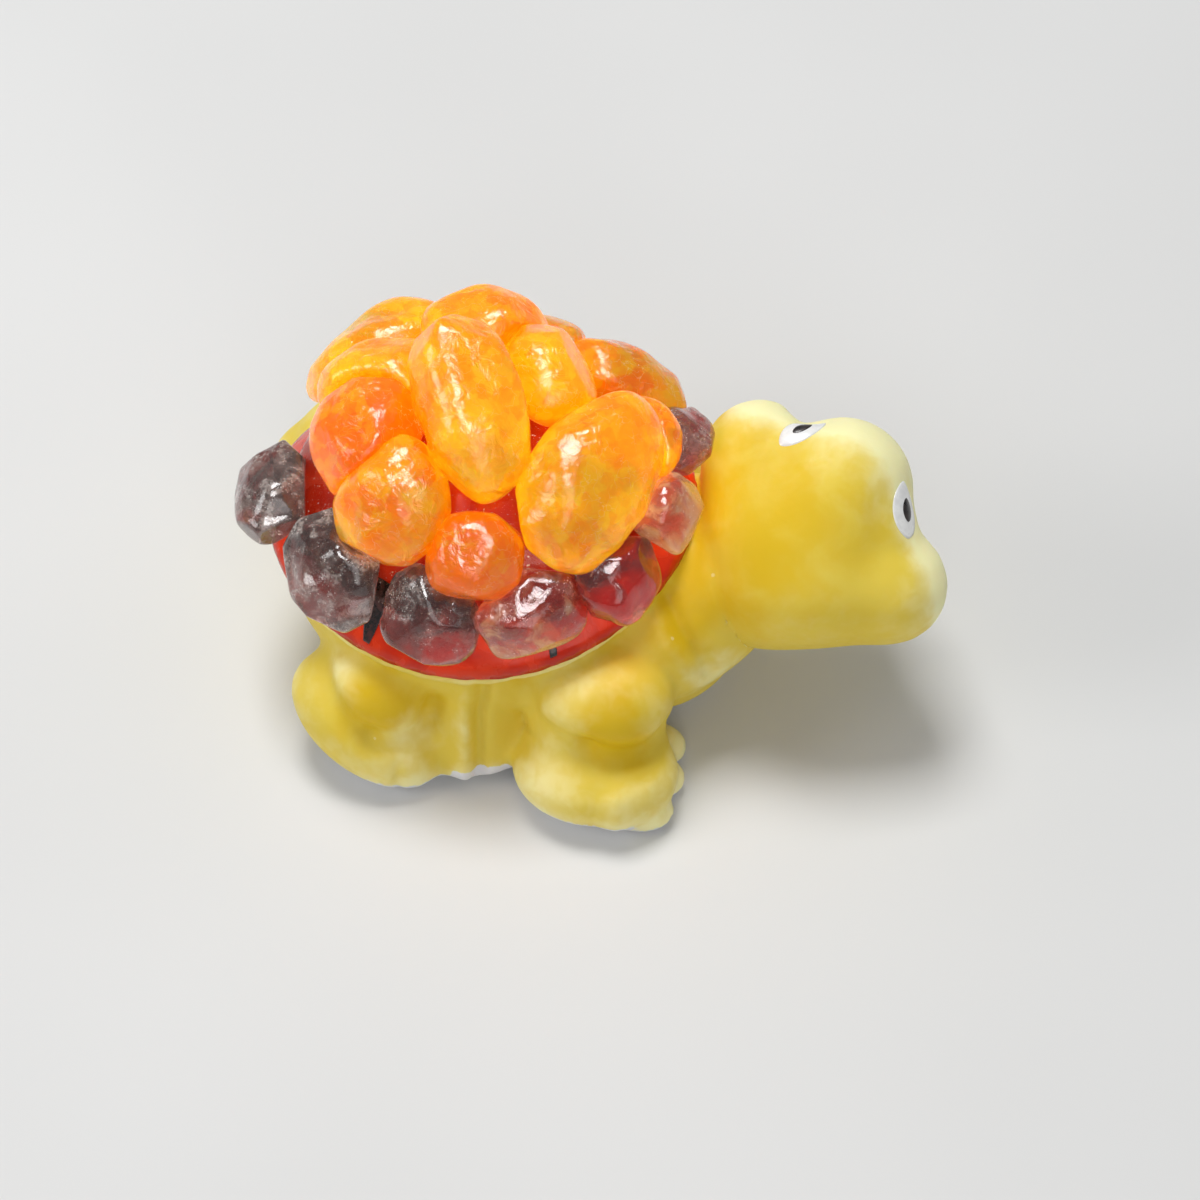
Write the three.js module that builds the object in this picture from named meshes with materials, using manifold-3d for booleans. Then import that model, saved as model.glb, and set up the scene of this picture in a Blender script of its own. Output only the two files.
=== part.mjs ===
// Amber turtle figurine: a yellow cast turtle that looks up over its left shoulder. Its red enamelled shell is
// ringed with dark cherry amber chips and heaped with clear orange amber, all set in one bed of adhesive.
// Millimetres, +Z up, the nose end towards +X, the turtle's left towards +Y, the soles on Z = 0.
import * as THREE from "three";
import { mergeVertices } from "three/addons/utils/BufferGeometryUtils.js";
import Module from "manifold-3d";

const wasm = await Module();
wasm.setup();

// Shell: an oval dome whose rim dips along the flanks
const SHELL_LENGTH = 24.5;
const SHELL_WIDTH = 21.5;
const SHELL_TOP = 18;
const RIM_FRONT = 13;
const RIM_REAR = 11.3;
const RIM_FLANKS = 9.6;
const RIM_LIP = 0.45;
const DOME_FULLNESS = 2.2;

// Layers on the shell, and the clearance between pieces that touch
const CLEARANCE = 0.3;
const ENAMEL_THICKNESS = 0.4;
const ENAMEL_INSET = 0.1;
const ADHESIVE_THICKNESS = 0.3;
const ADHESIVE_INSET = 1.6;

// Torso: an oval tub under the shell
const RIM_OVERHANG = 0.7;
const BELLY_CLEARANCE = 0.9;
const BELLY_ROUNDING = 7.5;
const SKIRT_LENGTH = 14;
const SKIRT_WIDTH = 22.8;
const SKIRT_ROUNDING = 1;
const SKIRT_DRAFT = 1.4;
const SKIRT_CLEARANCE = 0.35;

// Legs: forward and inset are measured from the middle and the flank of the torso
const LEG_BLEND = 1.2;
const SHOULDER_FORWARD = 7.8;
const SHOULDER_INSET = 2;
const SHOULDER_HEIGHT = 6;
const SHOULDER_LENGTH = 8.8;
const SHOULDER_THICKNESS = 7.5;
const FRONT_FOOT_LENGTH = 9.4;
const FRONT_FOOT_WIDTH = 7.2;
const FRONT_FOOT_HEIGHT = 5.2;
const FRONT_FOOT_OUT = 2.4;
const TOE_WIDTH = 2.2;
const TOE_LENGTH = 3.8;
const HIP_BACK = 4.8;
const HIP_INSET = 2;
const HIP_HEIGHT = 5.4;
const THIGH_THICKNESS = 7.6;
const REAR_FOOT_LENGTH = 10.4;
const REAR_FOOT_WIDTH = 6.4;
const REAR_FOOT_HEIGHT = 5.6;
const REAR_FOOT_LIFT = 2.9;
const REAR_FOOT_OUT = 1.2;
const REAR_FOOT_BACK = 0.6;
const REAR_FOOT_TOE_OUT = 24;
const REAR_FOOT_TOE_DOWN = 22;
const REAR_STRIDE = 4.4;
const REAR_STRADDLE = 0.5;
const SOLE_DEPTH = 0.4;

// Chest and neck
const CHEST_LENGTH = 12.4;
const CHEST_WIDTH = 15.6;
const CHEST_HEIGHT = 12;
const CHEST_FORWARD = 9.9;
const CHEST_BLEND = 2;
const NECK_WIDTH = 8.6;
const NECK_STRETCH = 1;
const NECK_SHARE = 0.55;

// Head: ahead of the shell's rim, turned to its left, tipped up and leaning to its right
const HEAD_AHEAD = 6.7;
const HEAD_LEFT = 1.4;
const HEAD_HEIGHT = 12.3;
const HEAD_TURN = 46;
const HEAD_TIP_UP = 26;
const HEAD_LEAN = 23;
const HEAD_BLEND = 1.2;
const HEAD_MIDLINE = -0.4;
const CROWN_LENGTH = 11.4;
const CROWN_WIDTH = 11.2;
const CROWN_HEIGHT = 9.2;
const CROWN_BACK = 1;
const CROWN_RISE = 0.5;
const BROW_LENGTH = 9;
const BROW_WIDTH = 8.4;
const BROW_AHEAD = 1.9;
const BROW_SIDE = 0.2;
const CHEEK_WIDTH = 6.8;
const CHEEK_HEIGHT = 7.2;
const CHEEK_SPREAD = 10.3;
const CHEEK_AHEAD = 0.3;
const JAW_LENGTH = 10.6;
const JAW_WIDTH = 6.3;
const JAW_HEIGHT = 8.4;
const JAW_SPREAD = 4.8;
const JAW_BACK = 3;
const JAW_SPLAY = 45;
const MUZZLE_LENGTH = 8.4;
const MUZZLE_WIDTH = 8;
const MUZZLE_HEIGHT = 6;
const MUZZLE_AHEAD = 1.6;
const MUZZLE_DROP = 2.6;

// Eyes: their bearings are skewed a little to the left, as on the hand-finished face
const EYE_WIDTH = 3.2;
const EYE_HEIGHT = 2.6;
const EYE_BEARING = 47;
const EYE_SKEW = 6;
const EYE_RISE = 29;
const EYE_THICKNESS = 0.9;
const PUPIL_WIDTH = 1.6;
const PUPIL_HEIGHT = 1.1;
const PUPIL_THICKNESS = 0.6;

// Stone finish
const STONE_DETAIL = 2;
const CHERRY_BOXINESS = 3;
const AMBER_BOXINESS = 2.3;

const UP = new THREE.Vector3(0, 0, 1);
const radians = THREE.MathUtils.degToRad;
const vector = (x, y, z) => new THREE.Vector3(x, y, z);

// Closed solids and their geometry

function solidFrom(geometry) {
  const bare = geometry.clone();
  for (const name of ["normal", "uv"]) bare.deleteAttribute(name);
  const merged = mergeVertices(bare, 1e-4);
  return new wasm.Manifold(
    new wasm.Mesh({
      numProp: 3,
      vertProperties: merged.attributes.position.array,
      triVerts: new Uint32Array(merged.index.array),
    }),
  );
}

function geometryFrom(solid) {
  const mesh = solid.getMesh();
  const geometry = new THREE.BufferGeometry();
  geometry.setAttribute("position", new THREE.BufferAttribute(mesh.vertProperties, 3));
  geometry.setIndex(new THREE.BufferAttribute(mesh.triVerts, 1));
  geometry.computeVertexNormals();
  return geometry;
}

function joined(solids) {
  return solids.reduce((whole, solid) => whole.add(solid));
}

// The largest body of a solid that a cut may have split
function mainBody(solid) {
  const bodies = solid.decompose();
  return bodies.reduce((best, body) => (body.volume() > best.volume() ? body : best));
}

function turned(bearing, tilt, spin) {
  const about = (axis, degrees) => new THREE.Quaternion().setFromAxisAngle(axis, radians(degrees));
  return about(UP, bearing).multiply(about(vector(0, 1, 0), tilt)).multiply(about(UP, spin));
}

// Rounded flesh: ellipsoid lobes that melt into each other

function lobe(at, size, turn = new THREE.Quaternion()) {
  return { at, radii: size.clone().multiplyScalar(0.5), untwist: turn.clone().invert() };
}

function lobeDistance({ at, radii, untwist }, point) {
  const local = point.clone().sub(at).applyQuaternion(untwist).divide(radii);
  const near = local.length();
  return (near * (near - 1)) / Math.max(local.divide(radii).length(), 1e-9);
}

function melted(lobes, blend, point) {
  return lobes.reduce((near, each) => {
    const distance = lobeDistance(each, point);
    const overlap = Math.max(blend - Math.abs(near - distance), 0) / blend;
    return Math.min(near, distance) - (overlap * overlap * blend) / 4;
  }, Infinity);
}

// A skin round the lobes, found along rays from a point inside them; margin moves it outwards
function flesh(lobes, { heart, blend, detail, margin = 0, reach = 20 }) {
  const skin = new THREE.IcosahedronGeometry(1, detail);
  const places = skin.getAttribute("position");
  for (let i = 0; i < places.count; i++) {
    const along = new THREE.Vector3().fromBufferAttribute(places, i).normalize();
    let distance = reach;
    for (let step = 0; step < 80; step++) {
      const point = heart.clone().addScaledVector(along, distance);
      distance -= melted(lobes, blend, point) - margin;
    }
    places.setXYZ(i, ...heart.clone().addScaledVector(along, distance).toArray());
  }
  return solidFrom(skin);
}

// Shell: heights over an oval plan

function rimHeight(bearing) {
  const end = Math.cos(bearing) > 0 ? RIM_FRONT : RIM_REAR;
  return THREE.MathUtils.lerp(end, RIM_FLANKS, Math.sin(bearing) ** 2);
}

function domeHeight(share, bearing) {
  return SHELL_TOP - (SHELL_TOP - rimHeight(bearing)) * share ** DOME_FULLNESS;
}

function shellPlace(share, bearing, lift = 0) {
  const x = (SHELL_LENGTH / 2) * share * Math.cos(bearing);
  const y = (SHELL_WIDTH / 2) * share * Math.sin(bearing);
  return vector(x, y, domeHeight(share, bearing) + lift);
}

// A closed layer between two heights, each a function of the share of the way out and the bearing
function ovalLayer(outerShare, top, bottom, rings = 5, sides = 36) {
  const points = [];
  const faces = [];
  const ringAt = (ring, height) => {
    const share = (outerShare * ring) / rings;
    for (let side = 0; side < sides; side++) {
      const bearing = (2 * Math.PI * side) / sides;
      const place = shellPlace(share, bearing);
      points.push(place.x, place.y, height(share, bearing));
    }
  };
  const strip = (inner, outer) => {
    for (let side = 0; side < sides; side++) {
      const next = (side + 1) % sides;
      faces.push(inner + side, outer + side, outer + next, inner + side, outer + next, inner + next);
    }
  };
  points.push(0, 0, top(0, 0));
  for (let ring = 1; ring <= rings; ring++) ringAt(ring, top);
  for (let ring = rings; ring >= 1; ring--) ringAt(ring, bottom);
  points.push(0, 0, bottom(0, 0));
  const last = points.length / 3 - 1;
  for (let side = 0; side < sides; side++) {
    const next = (side + 1) % sides;
    faces.push(0, 1 + side, 1 + next);
    faces.push(last, last - sides + next, last - sides + side);
  }
  for (let ring = 0; ring < 2 * rings - 1; ring++) strip(1 + ring * sides, 1 + (ring + 1) * sides);
  const geometry = new THREE.BufferGeometry();
  geometry.setAttribute("position", new THREE.Float32BufferAttribute(points, 3));
  geometry.setIndex(faces);
  return solidFrom(geometry);
}

const enamelLift = CLEARANCE;
const adhesiveLift = enamelLift + ENAMEL_THICKNESS + CLEARANCE;
const stoneLift = adhesiveLift + ADHESIVE_THICKNESS + CLEARANCE;
const enamelShare = 1 - (2 * ENAMEL_INSET) / SHELL_LENGTH;
const adhesiveShare = 1 - (2 * ADHESIVE_INSET) / SHELL_LENGTH;
const OVERHEAD = 60;

function shellLayer(share, lift, thickness) {
  return ovalLayer(
    share,
    (at, bearing) => domeHeight(at, bearing) + lift + thickness,
    (at, bearing) => domeHeight(at, bearing) + lift,
  );
}

function carapace() {
  return ovalLayer(1, domeHeight, (at, bearing) => rimHeight(bearing) - RIM_LIP - (1 - at) * RIM_FLANKS * 0.5);
}

// Everything above the shell's dome, so that flesh stays out of the layers and stones
function spaceAboveShell() {
  return ovalLayer(1.02, () => OVERHEAD, domeHeight);
}

// Flesh

const torsoLength = SHELL_LENGTH - 2 * RIM_OVERHANG;
const torsoWidth = SHELL_WIDTH - 2 * RIM_OVERHANG;

// An oval tub with a rounded bottom edge and a wall that leans in by the draft
function tub(length, width, bottom, top, rounding, draft) {
  const wall = new THREE.Path();
  const flat = length / 2 - rounding;
  wall.moveTo(0, bottom);
  wall.lineTo(flat, bottom);
  wall.absarc(flat, bottom + rounding, rounding, -Math.PI / 2, 0, false);
  wall.lineTo(length / 2 - draft, top);
  wall.lineTo(0, top);
  const shape = new THREE.LatheGeometry(wall.getPoints(5), 36);
  shape.rotateX(Math.PI / 2);
  shape.scale(1, width / length, 1);
  return solidFrom(shape);
}

function torso() {
  const barrel = tub(torsoLength, torsoWidth, BELLY_CLEARANCE, RIM_FRONT, BELLY_ROUNDING, 0);
  const skirt = tub(SKIRT_LENGTH, SKIRT_WIDTH, SKIRT_CLEARANCE, RIM_FLANKS, SKIRT_ROUNDING, SKIRT_DRAFT);
  return barrel.add(skirt);
}

function frontLeg(side) {
  const shoulder = vector(SHOULDER_FORWARD, side * (torsoWidth / 2 - SHOULDER_INSET), SHOULDER_HEIGHT);
  const foot = vector(shoulder.x, shoulder.y + side * FRONT_FOOT_OUT, FRONT_FOOT_HEIGHT / 2 - SOLE_DEPTH);
  const lobes = [
    lobe(shoulder, vector(SHOULDER_LENGTH, SHOULDER_THICKNESS, SHOULDER_THICKNESS)),
    lobe(foot, vector(FRONT_FOOT_LENGTH, FRONT_FOOT_WIDTH, FRONT_FOOT_HEIGHT)),
  ];
  const toes = [[0.52, -0.44], [0.54, -0.13], [0.5, 0.19]].map(([ahead, out]) => {
    const toe = new THREE.SphereGeometry(TOE_WIDTH / 2, 10, 8);
    const tip = foot.x + ahead * FRONT_FOOT_LENGTH;
    toe.scale(TOE_LENGTH / TOE_WIDTH, 1, 1);
    toe.translate(tip - TOE_LENGTH / 2, foot.y + side * out * FRONT_FOOT_WIDTH, TOE_WIDTH / 2 - SOLE_DEPTH / 2);
    return solidFrom(toe);
  });
  const leg = flesh(lobes, { heart: shoulder.clone().lerp(foot, 0.5), blend: LEG_BLEND, detail: 5 });
  return joined([leg, ...toes]);
}

function rearLeg(side) {
  const [stride, straddle] = side > 0 ? [REAR_STRIDE, REAR_STRADDLE] : [0, 0];
  const hip = vector(-HIP_BACK - stride, side * (torsoWidth / 2 - HIP_INSET + straddle), HIP_HEIGHT);
  const foot = vector(hip.x - REAR_FOOT_BACK, hip.y + side * REAR_FOOT_OUT, REAR_FOOT_LIFT);
  const footTurn = turned(side * REAR_FOOT_TOE_OUT, REAR_FOOT_TOE_DOWN, 0);
  const lobes = [
    lobe(hip, vector(THIGH_THICKNESS, THIGH_THICKNESS, THIGH_THICKNESS)),
    lobe(foot, vector(REAR_FOOT_LENGTH, REAR_FOOT_WIDTH, REAR_FOOT_HEIGHT), footTurn),
  ];
  return flesh(lobes, { heart: hip.clone().lerp(foot, 0.6), blend: LEG_BLEND, detail: 5 });
}

const headMiddle = vector(SHELL_LENGTH / 2 + HEAD_AHEAD, HEAD_LEFT, HEAD_HEIGHT);
const headTurn = turned(HEAD_TURN, -HEAD_TIP_UP, 0).multiply(
  new THREE.Quaternion().setFromAxisAngle(vector(1, 0, 0), radians(HEAD_LEAN)),
);

// A place in the head: ahead towards the brow, to the head's left and towards its crown
function inHead(ahead, left, up) {
  return vector(ahead, left, up).applyQuaternion(headTurn).add(headMiddle);
}

function headLobes() {
  const brow = vector(BROW_LENGTH, BROW_WIDTH, CROWN_HEIGHT);
  const crown = vector(CROWN_LENGTH, CROWN_WIDTH, CROWN_HEIGHT);
  const muzzle = vector(MUZZLE_LENGTH, MUZZLE_WIDTH, MUZZLE_HEIGHT);
  const cheek = vector(CHEEK_WIDTH, CHEEK_WIDTH, CHEEK_HEIGHT);
  const jaw = vector(JAW_LENGTH, JAW_WIDTH, JAW_HEIGHT);
  const lobes = [
    lobe(inHead(BROW_AHEAD, BROW_SIDE, CROWN_RISE), brow, headTurn),
    lobe(inHead(-CROWN_BACK, HEAD_MIDLINE, CROWN_RISE), crown, headTurn),
    lobe(inHead(MUZZLE_AHEAD, 0, -MUZZLE_DROP), muzzle, headTurn),
  ];
  for (const side of [-1, 1]) {
    const splay = headTurn.clone().multiply(turned(side * JAW_SPLAY, 0, 0));
    lobes.push(lobe(inHead(CHEEK_AHEAD, HEAD_MIDLINE + (side * CHEEK_SPREAD) / 2, 0), cheek, headTurn));
    lobes.push(lobe(inHead(-JAW_BACK, HEAD_MIDLINE + (side * JAW_SPREAD) / 2, 0), jaw, splay));
  }
  return lobes;
}

function head(margin = 0) {
  return flesh(headLobes(), { heart: headMiddle, blend: HEAD_BLEND, detail: 7, margin });
}

function chestAndNeck() {
  const chest = vector(CHEST_FORWARD, 0, CHEST_HEIGHT / 2 + BELLY_CLEARANCE);
  const collar = headMiddle.clone().lerp(chest, NECK_SHARE);
  const lobes = [
    lobe(chest, vector(CHEST_LENGTH, CHEST_WIDTH, CHEST_HEIGHT)),
    lobe(collar, vector(NECK_WIDTH * NECK_STRETCH, NECK_WIDTH, NECK_WIDTH)),
  ];
  return flesh(lobes, { heart: chest, blend: CHEST_BLEND, detail: 5 });
}

function ground() {
  const slab = new THREE.BoxGeometry(OVERHEAD * 2, OVERHEAD * 2, OVERHEAD);
  slab.translate(0, 0, -OVERHEAD / 2);
  return solidFrom(slab);
}

function casting() {
  const limbs = [-1, 1].flatMap((side) => [frontLeg(side), rearLeg(side)]);
  const sockets = [-1, 1].map((side) => eyeDrop(side, { ...EYE_WHITE, margin: CLEARANCE }));
  const skin = joined([torso(), chestAndNeck(), head(), ...limbs]).subtract(spaceAboveShell());
  return mainBody(skin.add(carapace()).subtract(joined([ground(), ...sockets])));
}

// Stones: rounded lumps with flats, none of them alike

function wobble(seed, direction) {
  const { x, y, z } = direction;
  const waves = Math.sin(2.1 * x + 1.7 * seed) + Math.sin(2.6 * y + 2.9 * seed) + Math.sin(2.3 * z + 4.3 * seed);
  return 1 + 0.05 * waves;
}

function flatsFor(seed, count, depth) {
  const golden = Math.PI * (3 - Math.sqrt(5));
  return Array.from({ length: count }, (_, i) => {
    const rise = 1 - (2 * (i + 0.5)) / count;
    const around = golden * i + seed * 1.9;
    const level = Math.sqrt(1 - rise * rise);
    const facing = vector(level * Math.cos(around), level * Math.sin(around), rise);
    return { facing, reach: 1 - depth * (0.6 + 0.4 * Math.sin(seed * 7.3 + i * 2.4)) };
  });
}

function stone({ size, boxiness, seed, flats, depth }, margin) {
  const lump = new THREE.IcosahedronGeometry(1, STONE_DETAIL);
  const places = lump.getAttribute("position");
  const planes = flatsFor(seed, flats, depth);
  const half = size.clone().multiplyScalar(0.5);
  for (let i = 0; i < places.count; i++) {
    const along = new THREE.Vector3().fromBufferAttribute(places, i);
    const sum = ["x", "y", "z"].reduce((total, axis) => total + Math.abs(along[axis]) ** boxiness, 0);
    let far = sum ** (-1 / boxiness) * wobble(seed, along);
    for (const { facing, reach } of planes) {
      const towards = facing.dot(along);
      if (towards > 0) far = Math.min(far, reach / towards);
    }
    const place = along.multiplyScalar(far).multiply(half);
    place.setLength(place.length() + margin);
    places.setXYZ(i, place.x, place.y, place.z);
  }
  return lump;
}

// Stone sizes were taken on a shell 24.5 mm long and 21.5 mm wide, and stretch with its plan
const stoneStretch = new THREE.Matrix4().makeScale(SHELL_LENGTH / 24.5, SHELL_WIDTH / 21.5, 1);

// Each row: bearing and share of the way out on the shell, lift above it, length, width, thickness,
// then the way its broad face leans, by how much, and the turn of its length within that face.
const CHERRY_RING = [
  [-165, 0.96, 1.1, 6.4, 4.8, 3.6, -165, 40, 80],
  [-129, 0.9, 1.4, 7.2, 6.2, 3.8, -129, 46, 60],
  [-96, 0.9, 1.2, 6, 5.8, 3.4, -96, 50, 0],
  [-69, 0.91, 1.3, 6.6, 5, 3.6, -69, 50, 85],
  [-42, 0.93, 1.3, 5.4, 5.2, 3.6, -42, 46, 40],
  [-15, 0.92, 1.2, 4.6, 4.4, 3.4, -15, 40, 0],
  [19, 0.94, 1.2, 4.6, 4, 3.4, 19, 40, 60],
  [46, 0.92, 1.2, 5.4, 4.8, 3.4, 46, 44, 30],
  [72, 0.9, 1.2, 6, 5, 3.4, 72, 50, 80],
  [100, 0.9, 1.2, 5.8, 5, 3.4, 100, 50, 70],
  [128, 0.88, 1.2, 6, 4.8, 3.4, 128, 46, 80],
  [160, 0.7, 0.8, 3.8, 3.6, 2.8, 160, 34, 85],
];

const AMBER_HEAP = [
  [-92, 0.14, 3, 11, 5.8, 4.8, -90, 38, 24],
  [-29, 0.64, 2, 10.8, 6.8, 4.8, -45, 45, 115],
  [-118, 0.63, 2.2, 6.8, 6.2, 4.8, -115, 45, 0],
  [-84, 0.72, 1.8, 5.2, 5, 4.2, -85, 45, 0],
  [-153, 0.54, 2.2, 7, 6, 4.8, -150, 38, 60],
  [35, 0.35, 2.2, 6, 4.4, 4.4, -45, 20, 0],
  [92, 0.48, 3, 7, 5.4, 4.6, 90, 25, 90],
  [138, 0.72, 2.4, 9.6, 5.2, 4.2, 150, 35, 76],
  [165, 0.47, 1.8, 7, 5.2, 4.4, 180, 15, 0],
  [42, 0.8, 1.6, 8, 4.8, 4, 40, 35, -40],
  [68, 0.66, 1.3, 7.2, 6, 4.4, 68, 42, 60],
  [108, 0.66, 1.8, 7.4, 6.2, 4.6, 108, 42, 60],
  [0, 0.7, 1.6, 5.6, 5.4, 4.2, 0, 34, 30],
];

const cherry = { boxiness: CHERRY_BOXINESS, flats: 9, depth: 0.22 };
const amber = { boxiness: AMBER_BOXINESS, flats: 7, depth: 0.12 };

function placed(row, look, seed, margin = 0) {
  const [bearing, share, lift, length, width, thickness, lean, tilt, spin] = row;
  const geometry = stone({ ...look, seed, size: vector(length, width, thickness) }, margin);
  const place = shellPlace(share, radians(bearing), stoneLift + lift);
  const matrix = new THREE.Matrix4().makeRotationFromQuaternion(turned(lean, tilt, spin));
  matrix.premultiply(stoneStretch).setPosition(place);
  return solidFrom(geometry.applyMatrix4(matrix));
}

// Sets stones one after another: each gives way to the bed below, the head and the stones set before it
function setStones(batches) {
  const bed = ovalLayer(
    1.25,
    (at, bearing) => domeHeight(at, bearing) + stoneLift,
    () => 0,
  );
  let taken = bed.add(head(CLEARANCE));
  const stones = [];
  for (const { name, rows, look, seed } of batches) {
    rows.forEach((row, i) => {
      const solid = mainBody(placed(row, look, seed + i).subtract(taken));
      taken = taken.add(placed(row, look, seed + i, CLEARANCE));
      stones.push({ name: `${name}_${String(i + 1).padStart(2, "0")}`, solid });
    });
  }
  return stones;
}

// Eyes: domed drops of enamel let into the face

const EYE_WHITE = { width: EYE_WIDTH, height: EYE_HEIGHT, thickness: EYE_THICKNESS, proud: 0 };
const PUPIL = { width: PUPIL_WIDTH, height: PUPIL_HEIGHT, thickness: PUPIL_THICKNESS, proud: CLEARANCE };

// Where a ray from the middle of the head leaves the face, and the way the face points there
function onFace(bearing, rise) {
  const along = vector(1, 0, 0).applyQuaternion(headTurn.clone().multiply(turned(bearing, -rise, 0)));
  const lobes = headLobes();
  const depth = (point) => melted(lobes, HEAD_BLEND, point);
  const place = headMiddle.clone().addScaledVector(along, CROWN_LENGTH);
  for (let step = 0; step < 80; step++) place.addScaledVector(along, -depth(place));
  const slope = (x, y, z) => depth(place.clone().add(vector(x, y, z))) - depth(place);
  const outward = vector(slope(0.1, 0, 0), slope(0, 0.1, 0), slope(0, 0, 0.1)).normalize();
  return { place, outward };
}

function eyeDrop(side, { width, height, thickness, proud, margin = 0 }) {
  const { place, outward } = onFace(side * EYE_BEARING + EYE_SKEW, EYE_RISE);
  const across = UP.clone().applyQuaternion(headTurn).cross(outward).normalize();
  const upright = outward.clone().cross(across);
  const drop = new THREE.SphereGeometry(0.5, 12, 8);
  drop.scale(thickness + 2 * margin, width + 2 * margin, height + 2 * margin);
  const matrix = new THREE.Matrix4().makeBasis(outward, across, upright);
  return solidFrom(drop.applyMatrix4(matrix.setPosition(place.addScaledVector(outward, proud))));
}

// Assembly

function material(color, roughness) {
  return new THREE.MeshStandardMaterial({ color, roughness, metalness: 0 });
}

const finishes = {
  casting: material("#d9bf5a", 0.55),
  enamel: material("#e8360c", 0.25),
  adhesive: material("#b5541c", 0.2),
  cherry: material("#4a1a18", 0.18),
  amber: material("#ff8c00", 0.15),
  white: material("#f2f2ee", 0.4),
  pupil: material("#26211f", 0.35),
};

const turtle = new THREE.Group();

function addPiece(name, solid, finish) {
  const mesh = new THREE.Mesh(geometryFrom(solid), finish);
  mesh.name = name;
  turtle.add(mesh);
}

addPiece("turtle_casting", casting(), finishes.casting);
addPiece("shell_enamel", shellLayer(enamelShare, enamelLift, ENAMEL_THICKNESS), finishes.enamel);
addPiece("adhesive_bed", shellLayer(adhesiveShare, adhesiveLift, ADHESIVE_THICKNESS), finishes.adhesive);
const stones = setStones([
  { name: "amber_stone", rows: AMBER_HEAP, look: amber, seed: 1 },
  { name: "cherry_stone", rows: CHERRY_RING, look: cherry, seed: 21 },
]);
for (const { name, solid } of stones) {
  addPiece(name, solid, name.startsWith("amber") ? finishes.amber : finishes.cherry);
}
for (const [word, side] of [["left", 1], ["right", -1]]) {
  const white = eyeDrop(side, EYE_WHITE).subtract(eyeDrop(side, { ...PUPIL, margin: CLEARANCE }));
  addPiece(`eye_white_${word}`, white, finishes.white);
  addPiece(`pupil_${word}`, eyeDrop(side, PUPIL), finishes.pupil);
}

// The origin lies under the middle of the figurine's box
const box = new THREE.Box3().setFromObject(turtle);
const middle = box.getCenter(new THREE.Vector3());
turtle.position.set(-middle.x, -middle.y, -box.min.z);

export default turtle;
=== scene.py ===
"""Looks of the amber turtle figurine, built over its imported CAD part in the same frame, in metres."""

from __future__ import annotations

import logging
import math
from dataclasses import dataclass, field, replace
from enum import Enum
from typing import Sequence

import bmesh
import bpy
import numpy as np
from mathutils import Matrix, Vector
from mathutils import noise as clouds
from mathutils.bvhtree import BVHTree

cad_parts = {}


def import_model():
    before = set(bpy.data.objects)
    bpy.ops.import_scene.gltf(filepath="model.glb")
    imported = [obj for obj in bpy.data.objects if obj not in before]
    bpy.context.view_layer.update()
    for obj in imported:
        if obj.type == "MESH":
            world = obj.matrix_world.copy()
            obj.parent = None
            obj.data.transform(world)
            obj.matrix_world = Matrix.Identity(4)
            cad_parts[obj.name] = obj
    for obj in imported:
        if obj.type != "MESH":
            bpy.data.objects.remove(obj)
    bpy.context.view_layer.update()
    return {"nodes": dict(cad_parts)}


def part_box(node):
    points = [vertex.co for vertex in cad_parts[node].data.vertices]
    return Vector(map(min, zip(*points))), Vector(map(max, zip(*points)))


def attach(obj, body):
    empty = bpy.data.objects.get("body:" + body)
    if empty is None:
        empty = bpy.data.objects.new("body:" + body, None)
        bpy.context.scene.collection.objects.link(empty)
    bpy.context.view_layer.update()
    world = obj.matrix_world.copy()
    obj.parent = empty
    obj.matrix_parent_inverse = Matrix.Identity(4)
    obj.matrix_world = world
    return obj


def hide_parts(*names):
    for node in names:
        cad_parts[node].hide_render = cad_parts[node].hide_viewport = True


Colour = tuple[float, float, float]
Point = tuple[float, float, float]
Span = tuple[float, float]
Face = tuple[int, ...]
Material = bpy.types.Material
Mesh = bpy.types.Mesh
Piece = bpy.types.Object
Socket = bpy.types.NodeSocket

LOG = logging.getLogger("turtle")

MM = 0.001
TINY = 1e-9
MERGE_DISTANCE = 1e-7
BODY = "root"
UP = Vector((0.0, 0.0, 1.0))

# Signs of Y for what is given on the right flank: first its twin on the left, then itself
FLANKS = (-1.0, 1.0)

# Millimetres from the shell's middle
HEAD_MIDDLE: Point = (18.9, 1.4, 12.3)

# Where most values of a noise lie
MOST_NOISE: Span = (0.3, 0.7)
MID_NOISE: Span = (0.35, 0.65)

# The colour sockets of a Mix node: two inputs and the result
MIX_FIRST = 6
MIX_SECOND = 7
MIX_RESULT = 2

NODE_WIDTH = 220.0
NODE_HEIGHT = 180.0
NODES_IN_ROW = 9


class Kind(Enum):
    """The two sorts of amber, by the first words of their CAD nodes."""

    ORANGE = "amber_stone"
    CHERRY = "cherry_stone"


class Side(Enum):
    """The turtle's two sides, by the last word of a CAD node."""

    LEFT = "left"
    RIGHT = "right"


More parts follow.
